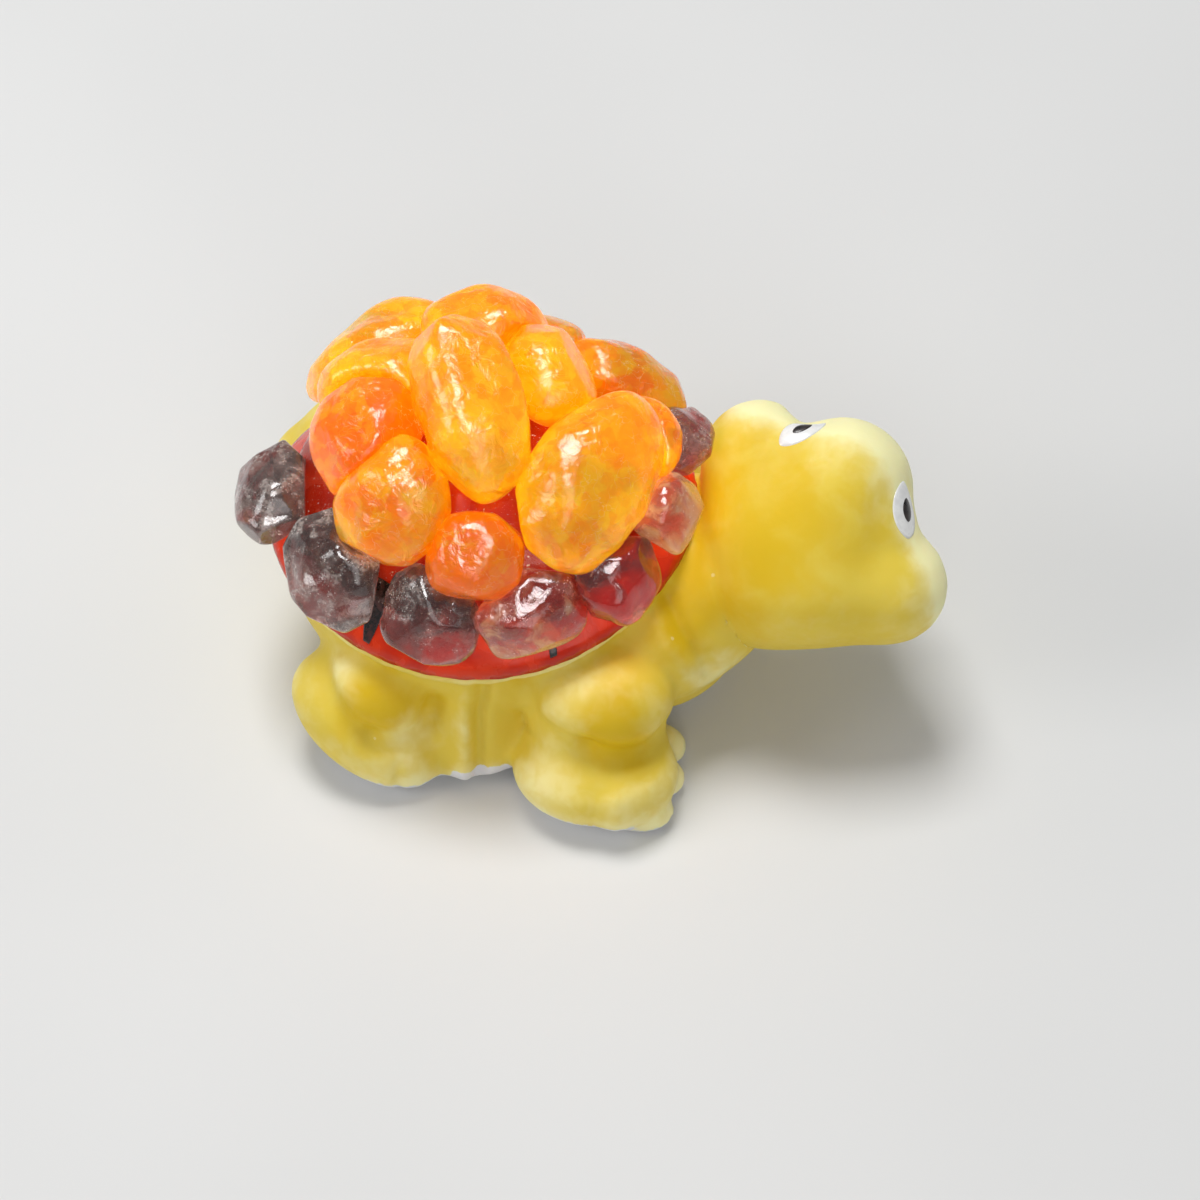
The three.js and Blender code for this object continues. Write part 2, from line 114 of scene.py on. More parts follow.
class Wiring:
    """A node tree, built one node at a time."""

    def __init__(self, tree: bpy.types.NodeTree) -> None:
        """Take a tree and empty it."""
        self.tree = tree
        self.tree.nodes.clear()

    def node(self, kind: str, inputs: dict | None = None, **settings: object) -> bpy.types.Node:
        """Add one node.

        Args:
            kind: The node's type name.
            inputs: Values or output sockets, by the input's name or index.
            settings: Properties of the node itself.

        Returns:
            The new node.
        """
        row, column = divmod(len(self.tree.nodes), NODES_IN_ROW)
        made = self.tree.nodes.new(kind)
        made.location = (NODE_WIDTH * column, -NODE_HEIGHT * row)
        for key, value in settings.items():
            setattr(made, key, value)
        for key, value in (inputs or {}).items():
            self.feed(made.inputs[key], value)
        return made

    def feed(self, socket: Socket, value: object) -> None:
        """Set a socket to a constant or link it.

        Args:
            socket: The input to set.
            value: A number, a colour, a vector or an output socket.
        """
        if isinstance(value, bpy.types.NodeSocket):
            self.tree.links.new(value, socket)
        elif isinstance(value, tuple) and socket.type == "RGBA":
            socket.default_value = (*value, 1.0)
        else:
            socket.default_value = value


class Graph(Wiring):
    """A material's node tree, with patterns sized in millimetres."""

    def __init__(self, name: str) -> None:
        """Start an empty material.

        Args:
            name: The material's name.
        """
        self.material = bpy.data.materials.new(name)
        self.material.use_nodes = True
        super().__init__(self.material.node_tree)

    def here(self) -> Socket:
        """Return the object-space position."""
        return self.node("ShaderNodeTexCoord").outputs["Object"]

    def attribute(self, name: str) -> Socket:
        """Read a number that is stored on the mesh."""
        return self.node("ShaderNodeAttribute", attribute_name=name).outputs["Fac"]

    def plus(self, first: object, second: object) -> Socket:
        """Add two numbers."""
        return self.node("ShaderNodeMath", {0: first, 1: second}, operation="ADD").outputs[0]

    def times(self, first: object, second: object) -> Socket:
        """Multiply two numbers."""
        return self.node("ShaderNodeMath", {0: first, 1: second}, operation="MULTIPLY").outputs[0]

    def below(self, value: object, limit: float) -> Socket:
        """Return 1 where a number is below a limit and 0 elsewhere."""
        return self.node("ShaderNodeMath", {0: value, 1: limit}, operation="LESS_THAN").outputs[0]

    def spread(self, value: object, given: Span, wanted: Span = (0.0, 1.0)) -> Socket:
        """Map a given range to a wanted one, smoothly and without overshoot."""
        inputs = {0: value, 1: given[0], 2: given[1], 3: wanted[0], 4: wanted[1]}
        return self.node("ShaderNodeMapRange", inputs, interpolation_type="SMOOTHSTEP").outputs[0]

    def blend(self, share: object, first: object, second: object) -> Socket:
        """Mix two colours by the share of the second one."""
        inputs = {0: share, MIX_FIRST: first, MIX_SECOND: second}
        return self.node("ShaderNodeMix", inputs, data_type="RGBA").outputs[MIX_RESULT]

    def bump(self, height: object, depth_mm: float) -> Socket:
        """Turn a height from 0 to 1 into a bent normal."""
        inputs = {"Height": height, "Distance": depth_mm * MM, "Strength": 1.0}
        return self.node("ShaderNodeBump", inputs).outputs[0]

    def noise(self, size_mm: float, detail: float, warp: float = 0.0) -> Socket:
        """Make cloudy noise, with finer layers for its detail and a warp out of shape."""
        inputs = {"Vector": self.here(), "Scale": 1.0 / (size_mm * MM), "Detail": detail, "Distortion": warp}
        return self.node("ShaderNodeTexNoise", inputs).outputs[0]

    def bent(self, size_mm: float, fineness: float, reach_mm: float) -> Socket:
        """Bend the object-space position, so that a pattern laid on it loses its straight edges.

        Args:
            size_mm: The size of the pattern, in millimetres.
            fineness: How much finer than the pattern the bends are.
            reach_mm: How far a place is moved, in millimetres.

        Returns:
            The bent position.
        """
        place = self.here()
        inputs = {"Vector": place, "Scale": fineness / (size_mm * MM)}
        swirl = self.node("ShaderNodeTexNoise", inputs).outputs[1]
        inputs = {0: swirl, 1: (2.0 * reach_mm * MM,) * 3, 2: place}
        return self.node("ShaderNodeVectorMath", inputs, operation="MULTIPLY_ADD").outputs[0]

    def flecks(self, size_mm: float, radius: float, share: float, bend_mm: float) -> Socket:
        """Make scattered small spots.

        Args:
            size_mm: The distance between neighbouring places, in millimetres.
            radius: A spot's radius, as a share of that distance.
            share: How many of the places have a spot.
            bend_mm: How far the spots are bent into flakes, in millimetres.

        Returns:
            1 in a spot and 0 elsewhere.
        """
        place = self.bent(size_mm, fineness=0.8, reach_mm=bend_mm)
        inputs = {"Vector": place, "Scale": 1.0 / (size_mm * MM)}
        cells = self.node("ShaderNodeTexVoronoi", inputs).outputs
        chance = self.node("ShaderNodeSeparateColor", {0: cells["Color"]}).outputs[0]
        return self.times(self.below(cells["Distance"], radius), self.below(chance, share))

    def patches(self, size_mm: float, bend: float) -> Socket:
        """Make uneven patches, each with a number of its own.

        Args:
            size_mm: The width of a patch, in millimetres.
            bend: How far its borders are bent, as a share of its width.

        Returns:
            A patch's number, from 0 to 1.
        """
        place = self.bent(size_mm, fineness=0.9, reach_mm=bend * size_mm)
        inputs = {"Vector": place, "Scale": 1.0 / (size_mm * MM), "Smoothness": 0.25}
        cells = self.node("ShaderNodeTexVoronoi", inputs, feature="SMOOTH_F1").outputs
        return self.node("ShaderNodeSeparateColor", {0: cells["Color"]}).outputs[0]

    def cracks(self, size_mm: float, width: float) -> Socket:
        """Make fine cracks between uneven cells.

        Args:
            size_mm: The width of a cell, in millimetres.
            width: A crack's width, as a share of a cell's.

        Returns:
            1 on a crack and 0 elsewhere.
        """
        place = self.bent(size_mm, fineness=1.5, reach_mm=0.6 * size_mm)
        inputs = {"Vector": place, "Scale": 1.0 / (size_mm * MM)}
        cells = self.node("ShaderNodeTexVoronoi", inputs, feature="DISTANCE_TO_EDGE").outputs
        return self.spread(cells["Distance"], (0.0, width), (1.0, 0.0))

    def surface(self, **inputs: object) -> Material:
        """Close the graph with a principled surface.

        Args:
            inputs: Values or sockets by the input's name, with underscores for spaces.

        Returns:
            The finished material.
        """
        named = {key.replace("_", " "): value for key, value in inputs.items()}
        shader = self.node("ShaderNodeBsdfPrincipled", named).outputs[0]
        self.node("ShaderNodeOutputMaterial", {0: shader})
        return self.material


@dataclass(frozen=True)
class CastingPaint:
    """Waxy yellow paint: ochre where it lies thicker and as painted shade in hollows and at the neck, pale
    at wear and as painted light on the head's upper edges and other spots, and none underneath.
    """

    base: Colour = (0.77, 0.58, 0.06)
    ochre: Colour = (0.72, 0.48, 0.004)
    pale: Colour = (0.97, 0.92, 0.50)
    bare: Colour = (0.78, 0.77, 0.78)
    speck: Colour = (0.90, 0.80, 0.42)
    speck_strength: float = 0.45

    def material(self) -> Material:
        """Make the paint.

        Returns:
            The material.
        """
        graph = Graph("casting_paint")
        cloud = graph.noise(2.8, detail=3.0, warp=0.4)
        grain = graph.noise(0.35, detail=4.0)
        mottle = graph.noise(1.1, detail=2.0, warp=0.3)
        # Ochre for thicker paint, plus painted shade in the hollows and at the neck; pale spots of painted
        # light take it away.
        thick_and_painted_shade = graph.plus(graph.attribute("thick_and_painted_shade"), graph.spread(cloud, MOST_NOISE, (-0.22, 0.22)))
        colour = graph.blend(graph.spread(thick_and_painted_shade, (0.05, 0.8)), self.base, self.ochre)
        # Pale for wear on ridges and soles, plus painted light on the head's upper edges and on pale spots.
        worn_and_painted_light = graph.plus(graph.attribute("worn_and_painted_light"), graph.spread(mottle, MOST_NOISE, (-0.08, 0.08)))
        colour = graph.blend(graph.spread(worn_and_painted_light, (0.05, 1.0), (0.0, 0.95)), colour, self.pale)
        specks = graph.flecks(1.5, radius=0.07, share=0.25, bend_mm=0.5)
        colour = graph.blend(graph.times(specks, self.speck_strength), colour, self.speck)
        under = graph.plus(graph.attribute("bare"), graph.spread(grain, MOST_NOISE, (-0.15, 0.15)))
        colour = graph.blend(graph.spread(under, (0.35, 0.65)), colour, self.bare)
        return graph.surface(
            Base_Color=colour,
            Roughness=graph.spread(grain, (0.25, 0.75), (0.48, 0.62)),
            Specular_IOR_Level=0.35,
            Subsurface_Weight=0.15,
            Subsurface_Radius=(1.0, 0.6, 0.2),
            Subsurface_Scale=0.7 * MM,
            Normal=graph.bump(grain, depth_mm=0.012),
        )


@dataclass(frozen=True)
class RedEnamel:
    """Glossy red enamel, brushed on unevenly."""

    red: Colour = (0.46, 0.016, 0.002)
    light: Colour = (0.64, 0.036, 0.003)

    def material(self) -> Material:
        """Make the enamel.

        Returns:
            The material.
        """
        graph = Graph("red_enamel")
        cloud = graph.noise(2.4, detail=3.0, warp=0.3)
        return graph.surface(
            Base_Color=graph.blend(graph.spread(cloud, MID_NOISE), self.red, self.light),
            Roughness=graph.spread(cloud, MOST_NOISE, (0.2, 0.32)),
            Specular_IOR_Level=0.3,
            Coat_Weight=0.12,
            Coat_Roughness=0.08,
            Normal=graph.bump(graph.noise(0.9, detail=2.0), depth_mm=0.04),
        )


@dataclass(frozen=True)
class ClearAdhesive:
    """Clear glossy adhesive with glitter and dust caught in it."""

    clear: Colour = (1.0, 0.90, 0.84)
    amber: Colour = (1.0, 0.72, 0.50)
    glitter: Colour = (0.85, 0.70, 0.50)

    def material(self) -> Material:
        """Make the adhesive.

        Returns:
            The material.
        """
        graph = Graph("clear_adhesive")
        cloud = graph.noise(1.8, detail=3.0, warp=0.5)
        colour = graph.blend(graph.spread(cloud, MID_NOISE), self.clear, self.amber)
        caught = graph.flecks(0.3, radius=0.16, share=0.22, bend_mm=0.1)
        return graph.surface(
            Base_Color=graph.blend(caught, colour, self.glitter),
            Roughness=graph.spread(cloud, MOST_NOISE, (0.03, 0.08)),
            IOR=1.35,
            Transmission_Weight=graph.spread(caught, (0.0, 1.0), (1.0, 0.1)),
            Normal=graph.bump(graph.noise(0.7, detail=3.0), depth_mm=0.05),
        )


@dataclass(frozen=True)
class OrangeAmber:
    """Half clear tumbled amber: yellow to red-orange by its stored tone, which holds painted light, with
    fine golden crackle and a faint emission that is painted light.
    """

    yellow: Colour = (1.0, 0.70, 0.02)
    orange: Colour = (1.0, 0.48, 0.005)
    deep: Colour = (1.0, 0.24, 0.003)
    gold: Colour = (1.0, 0.88, 0.34)
    painted_glow: Colour = (1.0, 0.28, 0.0)
    crackle_strength: float = 0.5
    patch_range: Span = (0.1, 0.9)

    def material(self) -> Material:
        """Make the amber.

        Returns:
            The material.
        """
        graph = Graph("orange_amber")
        cracked = graph.spread(graph.noise(1.5, detail=2.0, warp=0.4), (0.42, 0.58))
        broad = graph.spread(graph.patches(2.0, bend=0.6), self.patch_range, (-0.2, 0.2))
        small = graph.spread(graph.patches(0.7, bend=0.7), self.patch_range, (-0.16, 0.16))
        # The stored tone holds painted light: broad faces and lower parts yellower, rims deeper orange.
        tone = graph.plus(graph.plus(graph.attribute("tone"), broad), small)
        colour = graph.blend(graph.spread(tone, (0.0, 0.6)), self.yellow, self.orange)
        colour = graph.blend(graph.spread(tone, (0.5, 1.1)), colour, self.deep)
        crackle = graph.times(graph.cracks(0.9, width=0.024), cracked)
        colour = graph.blend(graph.times(crackle, self.crackle_strength), colour, self.gold)
        ripple = graph.noise(0.85, detail=4.0, warp=0.8)
        return graph.surface(
            Base_Color=colour,
            Roughness=graph.spread(ripple, MOST_NOISE, (0.02, 0.07)),
            IOR=1.5,
            Transmission_Weight=0.5,
            Coat_Weight=0.3,
            Coat_Roughness=0.03,
            # Painted light: a faint orange emission, though the amber is no lamp.
            Emission_Color=self.painted_glow,
            Emission_Strength=0.08,
            Subsurface_Weight=1.0,
            Subsurface_Radius=(1.0, 0.5, 0.1),
            Subsurface_Scale=1.0 * MM,
            Normal=graph.bump(ripple, depth_mm=0.15),
        )


@dataclass(frozen=True)
class CherryAmber:
    """Dark cherry amber: nearly black, red where light comes through and painted redder low down, frosted in
    patches that are partly painted hazy reflection, with painted glints.
    """

    black: Colour = (0.10, 0.060, 0.055)
    plum: Colour = (0.26, 0.11, 0.095)
    red: Colour = (0.50, 0.045, 0.025)
    brown: Colour = (0.72, 0.40, 0.17)
    frost: Colour = (0.50, 0.45, 0.41)
    glint: Colour = (0.88, 0.86, 0.80)
    glint_strength: float = 0.8

    def material(self) -> Material:
        """Make the amber.

        Returns:
            The material.
        """
        graph = Graph("cherry_amber")
        cloud = graph.noise(1.8, detail=3.0, warp=0.8)
        tone = graph.plus(graph.attribute("tone"), graph.spread(cloud, (0.28, 0.72), (-0.22, 0.22)))
        colour = graph.blend(graph.spread(tone, (0.0, 0.32)), self.black, self.plum)
        colour = graph.blend(graph.spread(tone, (0.25, 0.5)), colour, self.red)
        colour = graph.blend(graph.spread(tone, (0.66, 1.0)), colour, self.brown)
        # Frost film: dust, and partly a painted hazy reflection.
        dusty = graph.spread(graph.noise(1.3, detail=2.0, warp=0.5), (0.42, 0.66))
        dusty = graph.times(graph.spread(dusty, (0.0, 1.0), (0.3, 1.0)), graph.attribute("frost"))
        powder = graph.spread(graph.noise(0.25, detail=4.0, warp=0.4), MOST_NOISE, (0.4, 1.0))
        film = graph.times(dusty, powder)
        # Painted glints: small bright flecks in the frost.
        painted_glints = graph.times(graph.flecks(0.12, radius=0.3, share=0.2, bend_mm=0.06), dusty)
        clear = graph.spread(graph.plus(film, painted_glints), (0.0, 0.8), (0.88, 0.2))
        colour = graph.blend(film, colour, self.frost)
        colour = graph.blend(graph.times(painted_glints, self.glint_strength), colour, self.glint)
        crags = graph.noise(0.8, detail=4.0, warp=0.6)
        return graph.surface(
            Base_Color=colour,
            Roughness=graph.spread(crags, MID_NOISE, (0.03, 0.14)),
            IOR=1.5,
            Transmission_Weight=graph.times(clear, graph.spread(tone, (0.6, 0.9), (1.0, 0.5))),
            Coat_Weight=0.6,
            Coat_Roughness=0.05,
            Normal=graph.bump(crags, depth_mm=0.08),
        )


@dataclass(frozen=True)
class TwoTone:
    """A plain finish that drifts between two colours and two degrees of gloss."""

    name: str
    first: Colour
    second: Colour
    cloud_mm: float = 0.7
    detail: float = 2.0
    roughness: Span = (0.25, 0.4)
    coat: float = 0.3
    mixing: Span = MID_NOISE

    def material(self) -> Material:
        """Make the finish.

        Returns:
            The material.
        """
        graph = Graph(self.name)
        shade = graph.noise(self.cloud_mm, self.detail)
        return graph.surface(
            Base_Color=graph.blend(graph.spread(shade, self.mixing), self.first, self.second),
            Roughness=graph.spread(shade, MOST_NOISE, self.roughness),
            Coat_Weight=self.coat,
        )


EYE_WHITE = TwoTone("eye_white_enamel", (0.84, 0.84, 0.82), (0.74, 0.74, 0.73))
PUPIL = TwoTone("pupil_enamel", (0.012, 0.010, 0.010), (0.035, 0.026, 0.024))
BLACK_PAINT = TwoTone(
    "black_paint",
    (0.010, 0.008, 0.008),
    (0.05, 0.012, 0.010),
    cloud_mm=0.4,
    roughness=(0.2, 0.35),
    mixing=(0.45, 0.7),
)
GOLD_FLAKE = TwoTone(
    "gold_flake",
    (1.0, 0.88, 0.45),
    (1.0, 0.96, 0.75),
    cloud_mm=0.6,
    detail=1.0,
    roughness=(0.15, 0.3),
    coat=0.0,
)
DUST_GRAIN = replace(GOLD_FLAKE, name="dust_grain", first=(0.74, 0.71, 0.66), second=(0.55, 0.50, 0.45))
PALE_FLOOR = TwoTone(
    "pale_floor",
    (0.66, 0.66, 0.65),
    (0.70, 0.70, 0.69),
    cloud_mm=60.0,
    roughness=(0.7, 0.7),
    coat=0.0,
    mixing=MOST_NOISE,
)


def linked(name: str, mesh: Mesh) -> Piece:
    """Put a mesh into the scene.

    Args:
        name: The object's name.
        mesh: Its mesh.

    Returns:
        The object.
    """
    piece = bpy.data.objects.new(name, mesh)
    bpy.context.scene.collection.objects.link(piece)
    return piece


def merged_copy(source: Mesh, name: str) -> Piece:
    """Copy a CAD node's mesh, with its doubled vertices merged.

    Args:
        source: The CAD node's mesh.
        name: The copy's name.

    Returns:
        The copy, linked to the scene.
    """
    made = bmesh.new()
    made.from_mesh(source)
    bmesh.ops.remove_doubles(made, verts=made.verts, dist=MERGE_DISTANCE)
    mesh = bpy.data.meshes.new(name)
    made.to_mesh(mesh)
    made.free()
    return linked(name, mesh)


def new_piece(name: str, points: Sequence[Vector], faces: Sequence[Face]) -> Piece:
    """Make a piece from points and faces.

    Args:
        name: The piece's name.
        points: Places in the row frame, in metres.
        faces: Corner numbers of each face.

    Returns:
        The piece, linked to the scene.
    """
    mesh = bpy.data.meshes.new(name)
    mesh.from_pydata([tuple(p) for p in points], [], faces)
    return linked(name, mesh)


def closed_sheet(name: str, upper: list[Vector], lower: list[Vector], faces: Sequence[Face]) -> Piece:
    """Make a thin closed piece from two layers of points.

    Args:
        name: The piece's name.
        upper: The upper layer, in metres.
        lower: The same points in the lower layer.
        faces: Corner numbers of the upper layer's faces.

    Returns:
        The piece, linked to the scene.
    """
    count = len(upper)
    edges = {edge for face in faces for edge in zip(face, face[1:] + face[:1])}
    under = [tuple(count + corner for corner in reversed(face)) for face in faces]
    rim = [(a, count + a, count + b, b) for a, b in sorted(edges) if (b, a) not in edges]
    return new_piece(name, upper + lower, [*faces, *under, *rim])


def bake_modifiers(piece: Piece) -> None:
    """Turn a piece and its modifiers into a plain mesh.

    Args:
        piece: The piece to change.
    """
    graph = bpy.context.evaluated_depsgraph_get()
    mesh = bpy.data.meshes.new_from_object(piece.evaluated_get(graph))
    old = piece.data
    piece.modifiers.clear()
    piece.data = mesh
    bpy.data.meshes.remove(old)
    mesh.name = piece.name


def remesh(piece: Piece, size_mm: float) -> None:
    """Give a piece an even skin of small faces.

    Args:
        piece: The piece to change.
        size_mm: The width of a face, in millimetres.
    """
    step = piece.modifiers.new("even skin", "REMESH")
    step.mode = "VOXEL"
    step.voxel_size = size_mm * MM
    bake_modifiers(piece)


def subdivide(piece: Piece, levels: int) -> None:
    """Round a piece's faces off.

    Args:
        piece: The piece to change.
        levels: How many times its faces are split.
    """
    step = piece.modifiers.new("rounder", "SUBSURF")
    step.levels = levels
    step.render_levels = levels
    bake_modifiers(piece)


def rows_of(items: bpy.types.bpy_prop_collection, key: str) -> np.ndarray:
    """Read a vector of every item in one of a mesh's lists.

    Args:
        items: The list.
        key: The vector's name.

    Returns:
        One row per item.
    """
    flat = np.zeros(len(items) * 3)
    items.foreach_get(key, flat)
    return flat.reshape(-1, 3)


def positions(mesh: Mesh) -> np.ndarray:
    """Return a mesh's vertices, one row each, in metres."""
    return rows_of(mesh.vertices, "co")


def normals(mesh: Mesh) -> np.ndarray:
    """Return a mesh's vertex normals, one unit row each."""
    return rows_of(mesh.vertex_normals, "vector")


def move_to(mesh: Mesh, places: np.ndarray) -> None:
    """Move a mesh's vertices to new places, one row each, in metres."""
    mesh.vertices.foreach_set("co", places.astype(np.float32).ravel())
    mesh.update()


def push(mesh: Mesh, out_mm: np.ndarray) -> None:
    """Move a mesh's vertices along their normals, each by its own millimetres."""
    move_to(mesh, positions(mesh) + normals(mesh) * (out_mm * MM)[:, None])


def store(mesh: Mesh, name: str, values: np.ndarray) -> None:
    """Store a number on every vertex, for the finishes to read."""
    mesh.attributes.new(name, "FLOAT", "POINT").data.foreach_set("value", values.astype(np.float32))


def surface_tree(mesh: Mesh) -> BVHTree:
    """Index a mesh for finding places on it."""
    return BVHTree.FromPolygons([v.co for v in mesh.vertices], [p.vertices for p in mesh.polygons])


def landed(tree: BVHTree, start: Vector, way: Vector, reach: float, otherwise: Vector) -> Vector:
    """Return where a ray meets a surface within its reach, or another place where it misses."""
    hit = tree.ray_cast(start, way, reach)[0]
    return otherwise if hit is None else hit


def ramp(values: np.ndarray, start: float, end: float) -> np.ndarray:
    """Rise from 0 at the start to 1 at the end, which may lie below it."""
    return np.clip((values - start) / (end - start), 0.0, 1.0)


def resampled(keys: np.ndarray, steps: int) -> np.ndarray:
    """Return a number of rows spread evenly from the first to the last row of a table."""
    share = np.linspace(0.0, len(keys) - 1.0, steps)
    return np.stack([np.interp(share, range(len(keys)), column) for column in keys.T], axis=1)


def smoothed(mesh: Mesh, rows: np.ndarray, rounds: int, share: np.ndarray | float = 0.5) -> np.ndarray:
    """Relax vertices, or numbers on them, towards their neighbours.

    Args:
        mesh: The mesh that says which vertices are neighbours.
        rows: What to relax, one row per vertex.
        rounds: How many times.
        share: How far each vertex goes each time.

    Returns:
        The relaxed rows.
    """
    ends = np.zeros(len(mesh.edges) * 2, dtype=np.int64)
    mesh.edges.foreach_get("vertices", ends)
    first, second = ends.reshape(-1, 2).T
    count = len(mesh.vertices)
    degree = np.maximum(np.bincount(ends, minlength=count), 1)[:, None]
    weight = np.broadcast_to(np.asarray(share, dtype=float).reshape(-1, 1), (count, 1))
    out = rows.copy()
    for _ in range(rounds):
        total = np.zeros_like(out)
        for axis in range(out.shape[1]):
            total[:, axis] = np.bincount(first, out[second, axis], count)
            total[:, axis] += np.bincount(second, out[first, axis], count)
        out += weight * (total / degree - out)
    return out


def distance_to_line(places: np.ndarray, line: np.ndarray) -> np.ndarray:
    """Measure how far places are from a bent line.

    Args:
        places: One row per place.
        line: The line's points.

    Returns:
        The distance of each place.
    """
    best = np.full(len(places), np.inf)
    for start, end in zip(line[:-1], line[1:]):
        along = end - start
        share = np.clip(((places - start) @ along) / max(along @ along, TINY * TINY), 0.0, 1.0)
        best = np.minimum(best, np.linalg.norm(places - start - share[:, None] * along, axis=1))
    return best


def finish_piece(piece: Piece, material: Material, nodes: Sequence[str] = ()) -> None:
    """Give a piece its material and its place in the frame.

    Args:
        piece: The piece.
        material: What it is made of.
        nodes: The CAD nodes that it stands for.
    """
    piece.data.materials.clear()
    piece.data.materials.append(material)
    piece.data.polygons.foreach_set("use_smooth", [True] * len(piece.data.polygons))
    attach(piece, BODY)
    if nodes:
        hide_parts(*nodes)
    LOG.info("%s has %d faces", piece.name, len(piece.data.polygons))


@dataclass
class Site:
    """Where the turtle stands: places measured from the middle of its shell."""

    nodes: dict[str, Piece]
    middle: Vector = field(init=False)

    def __post_init__(self) -> None:
        """Find the shell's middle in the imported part."""
        low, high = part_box("shell_enamel")
        self.middle = Vector(((low.x + high.x) / 2, (low.y + high.y) / 2, 0.0))

    def mesh(self, node: str) -> Mesh:
        """Return a CAD node's mesh, to be read only."""
        return self.nodes[node].data

    def at(self, x: float, y: float, z: float) -> Vector:
        """Turn millimetres from the shell's middle into a place in the row frame, in metres."""
        return self.middle + Vector((x, y, z)) * MM

    def ahead(self, places: np.ndarray) -> np.ndarray:
        """Return how far places lie ahead of the shell's middle, in millimetres."""
        return (places[:, 0] - self.middle.x) / MM


@dataclass(frozen=True)
class Look:
    """How an eye is set: how far open, how far turned in the face and how far up it."""

    lid: float
    tilt_deg: float
    rise_mm: float


@dataclass(frozen=True)
class EyePlace:
    """Where an eye lies on the face and how large it is, in metres."""

    middle: Vector
    outward: Vector
    across: Vector
    upright: Vector
    half_width: float
    half_height: float

    @classmethod
    def of(cls, site: Site, side: Side) -> EyePlace:
        """Read an eye's place from its CAD node.

        Args:
            site: Where the turtle stands.
            side: Which eye.

        Returns:
            The eye's place.
        """
        places = positions(site.mesh(f"eye_white_{side.value}"))
        middle = (places.min(axis=0) + places.max(axis=0)) / 2
        _, axes = np.linalg.eigh(np.cov((places - middle).T))
        outward, across = Vector(axes[:, 0]), Vector(axes[:, 2])
        if outward.dot(Vector(middle) - site.at(*HEAD_MIDDLE)) < 0.0:
            outward.negate()
        upright = outward.cross(across)
        if upright.z < 0.0:
            across.negate()
            upright.negate()
        spread = (places - middle) @ np.array([across, upright]).T
        half_width, half_height = np.abs(spread).max(axis=0)
        return cls(Vector(middle), outward, across, upright, float(half_width), float(half_height))

    def seen(self, look: Look) -> EyePlace:
        """Set the eye.

        Args:
            look: How it is set.

        Returns:
            The place of the eye as set.
        """
        turn = Matrix.Rotation(math.radians(look.tilt_deg), 3, self.outward)
        across, upright = turn @ self.across, turn @ self.upright
        middle = self.middle + self.upright * (look.rise_mm * MM)
        half_height = self.half_height * look.lid
        return replace(self, middle=middle, across=across, upright=upright, half_height=half_height)


@dataclass(frozen=True)
class Crease:
    """A soft groove, or a ridge where the depth is negative, along a line on the casting."""

    line: tuple[Point, ...]
    width: float
    depth: float
    both_sides: bool = True


@dataclass(frozen=True)
class Spot:
    """A round place on the casting where the paint is thicker or paler, also used for painted shade and
    painted light, or where the shape is fuller.
    """

    at: Point
    reach: float
    strength: float


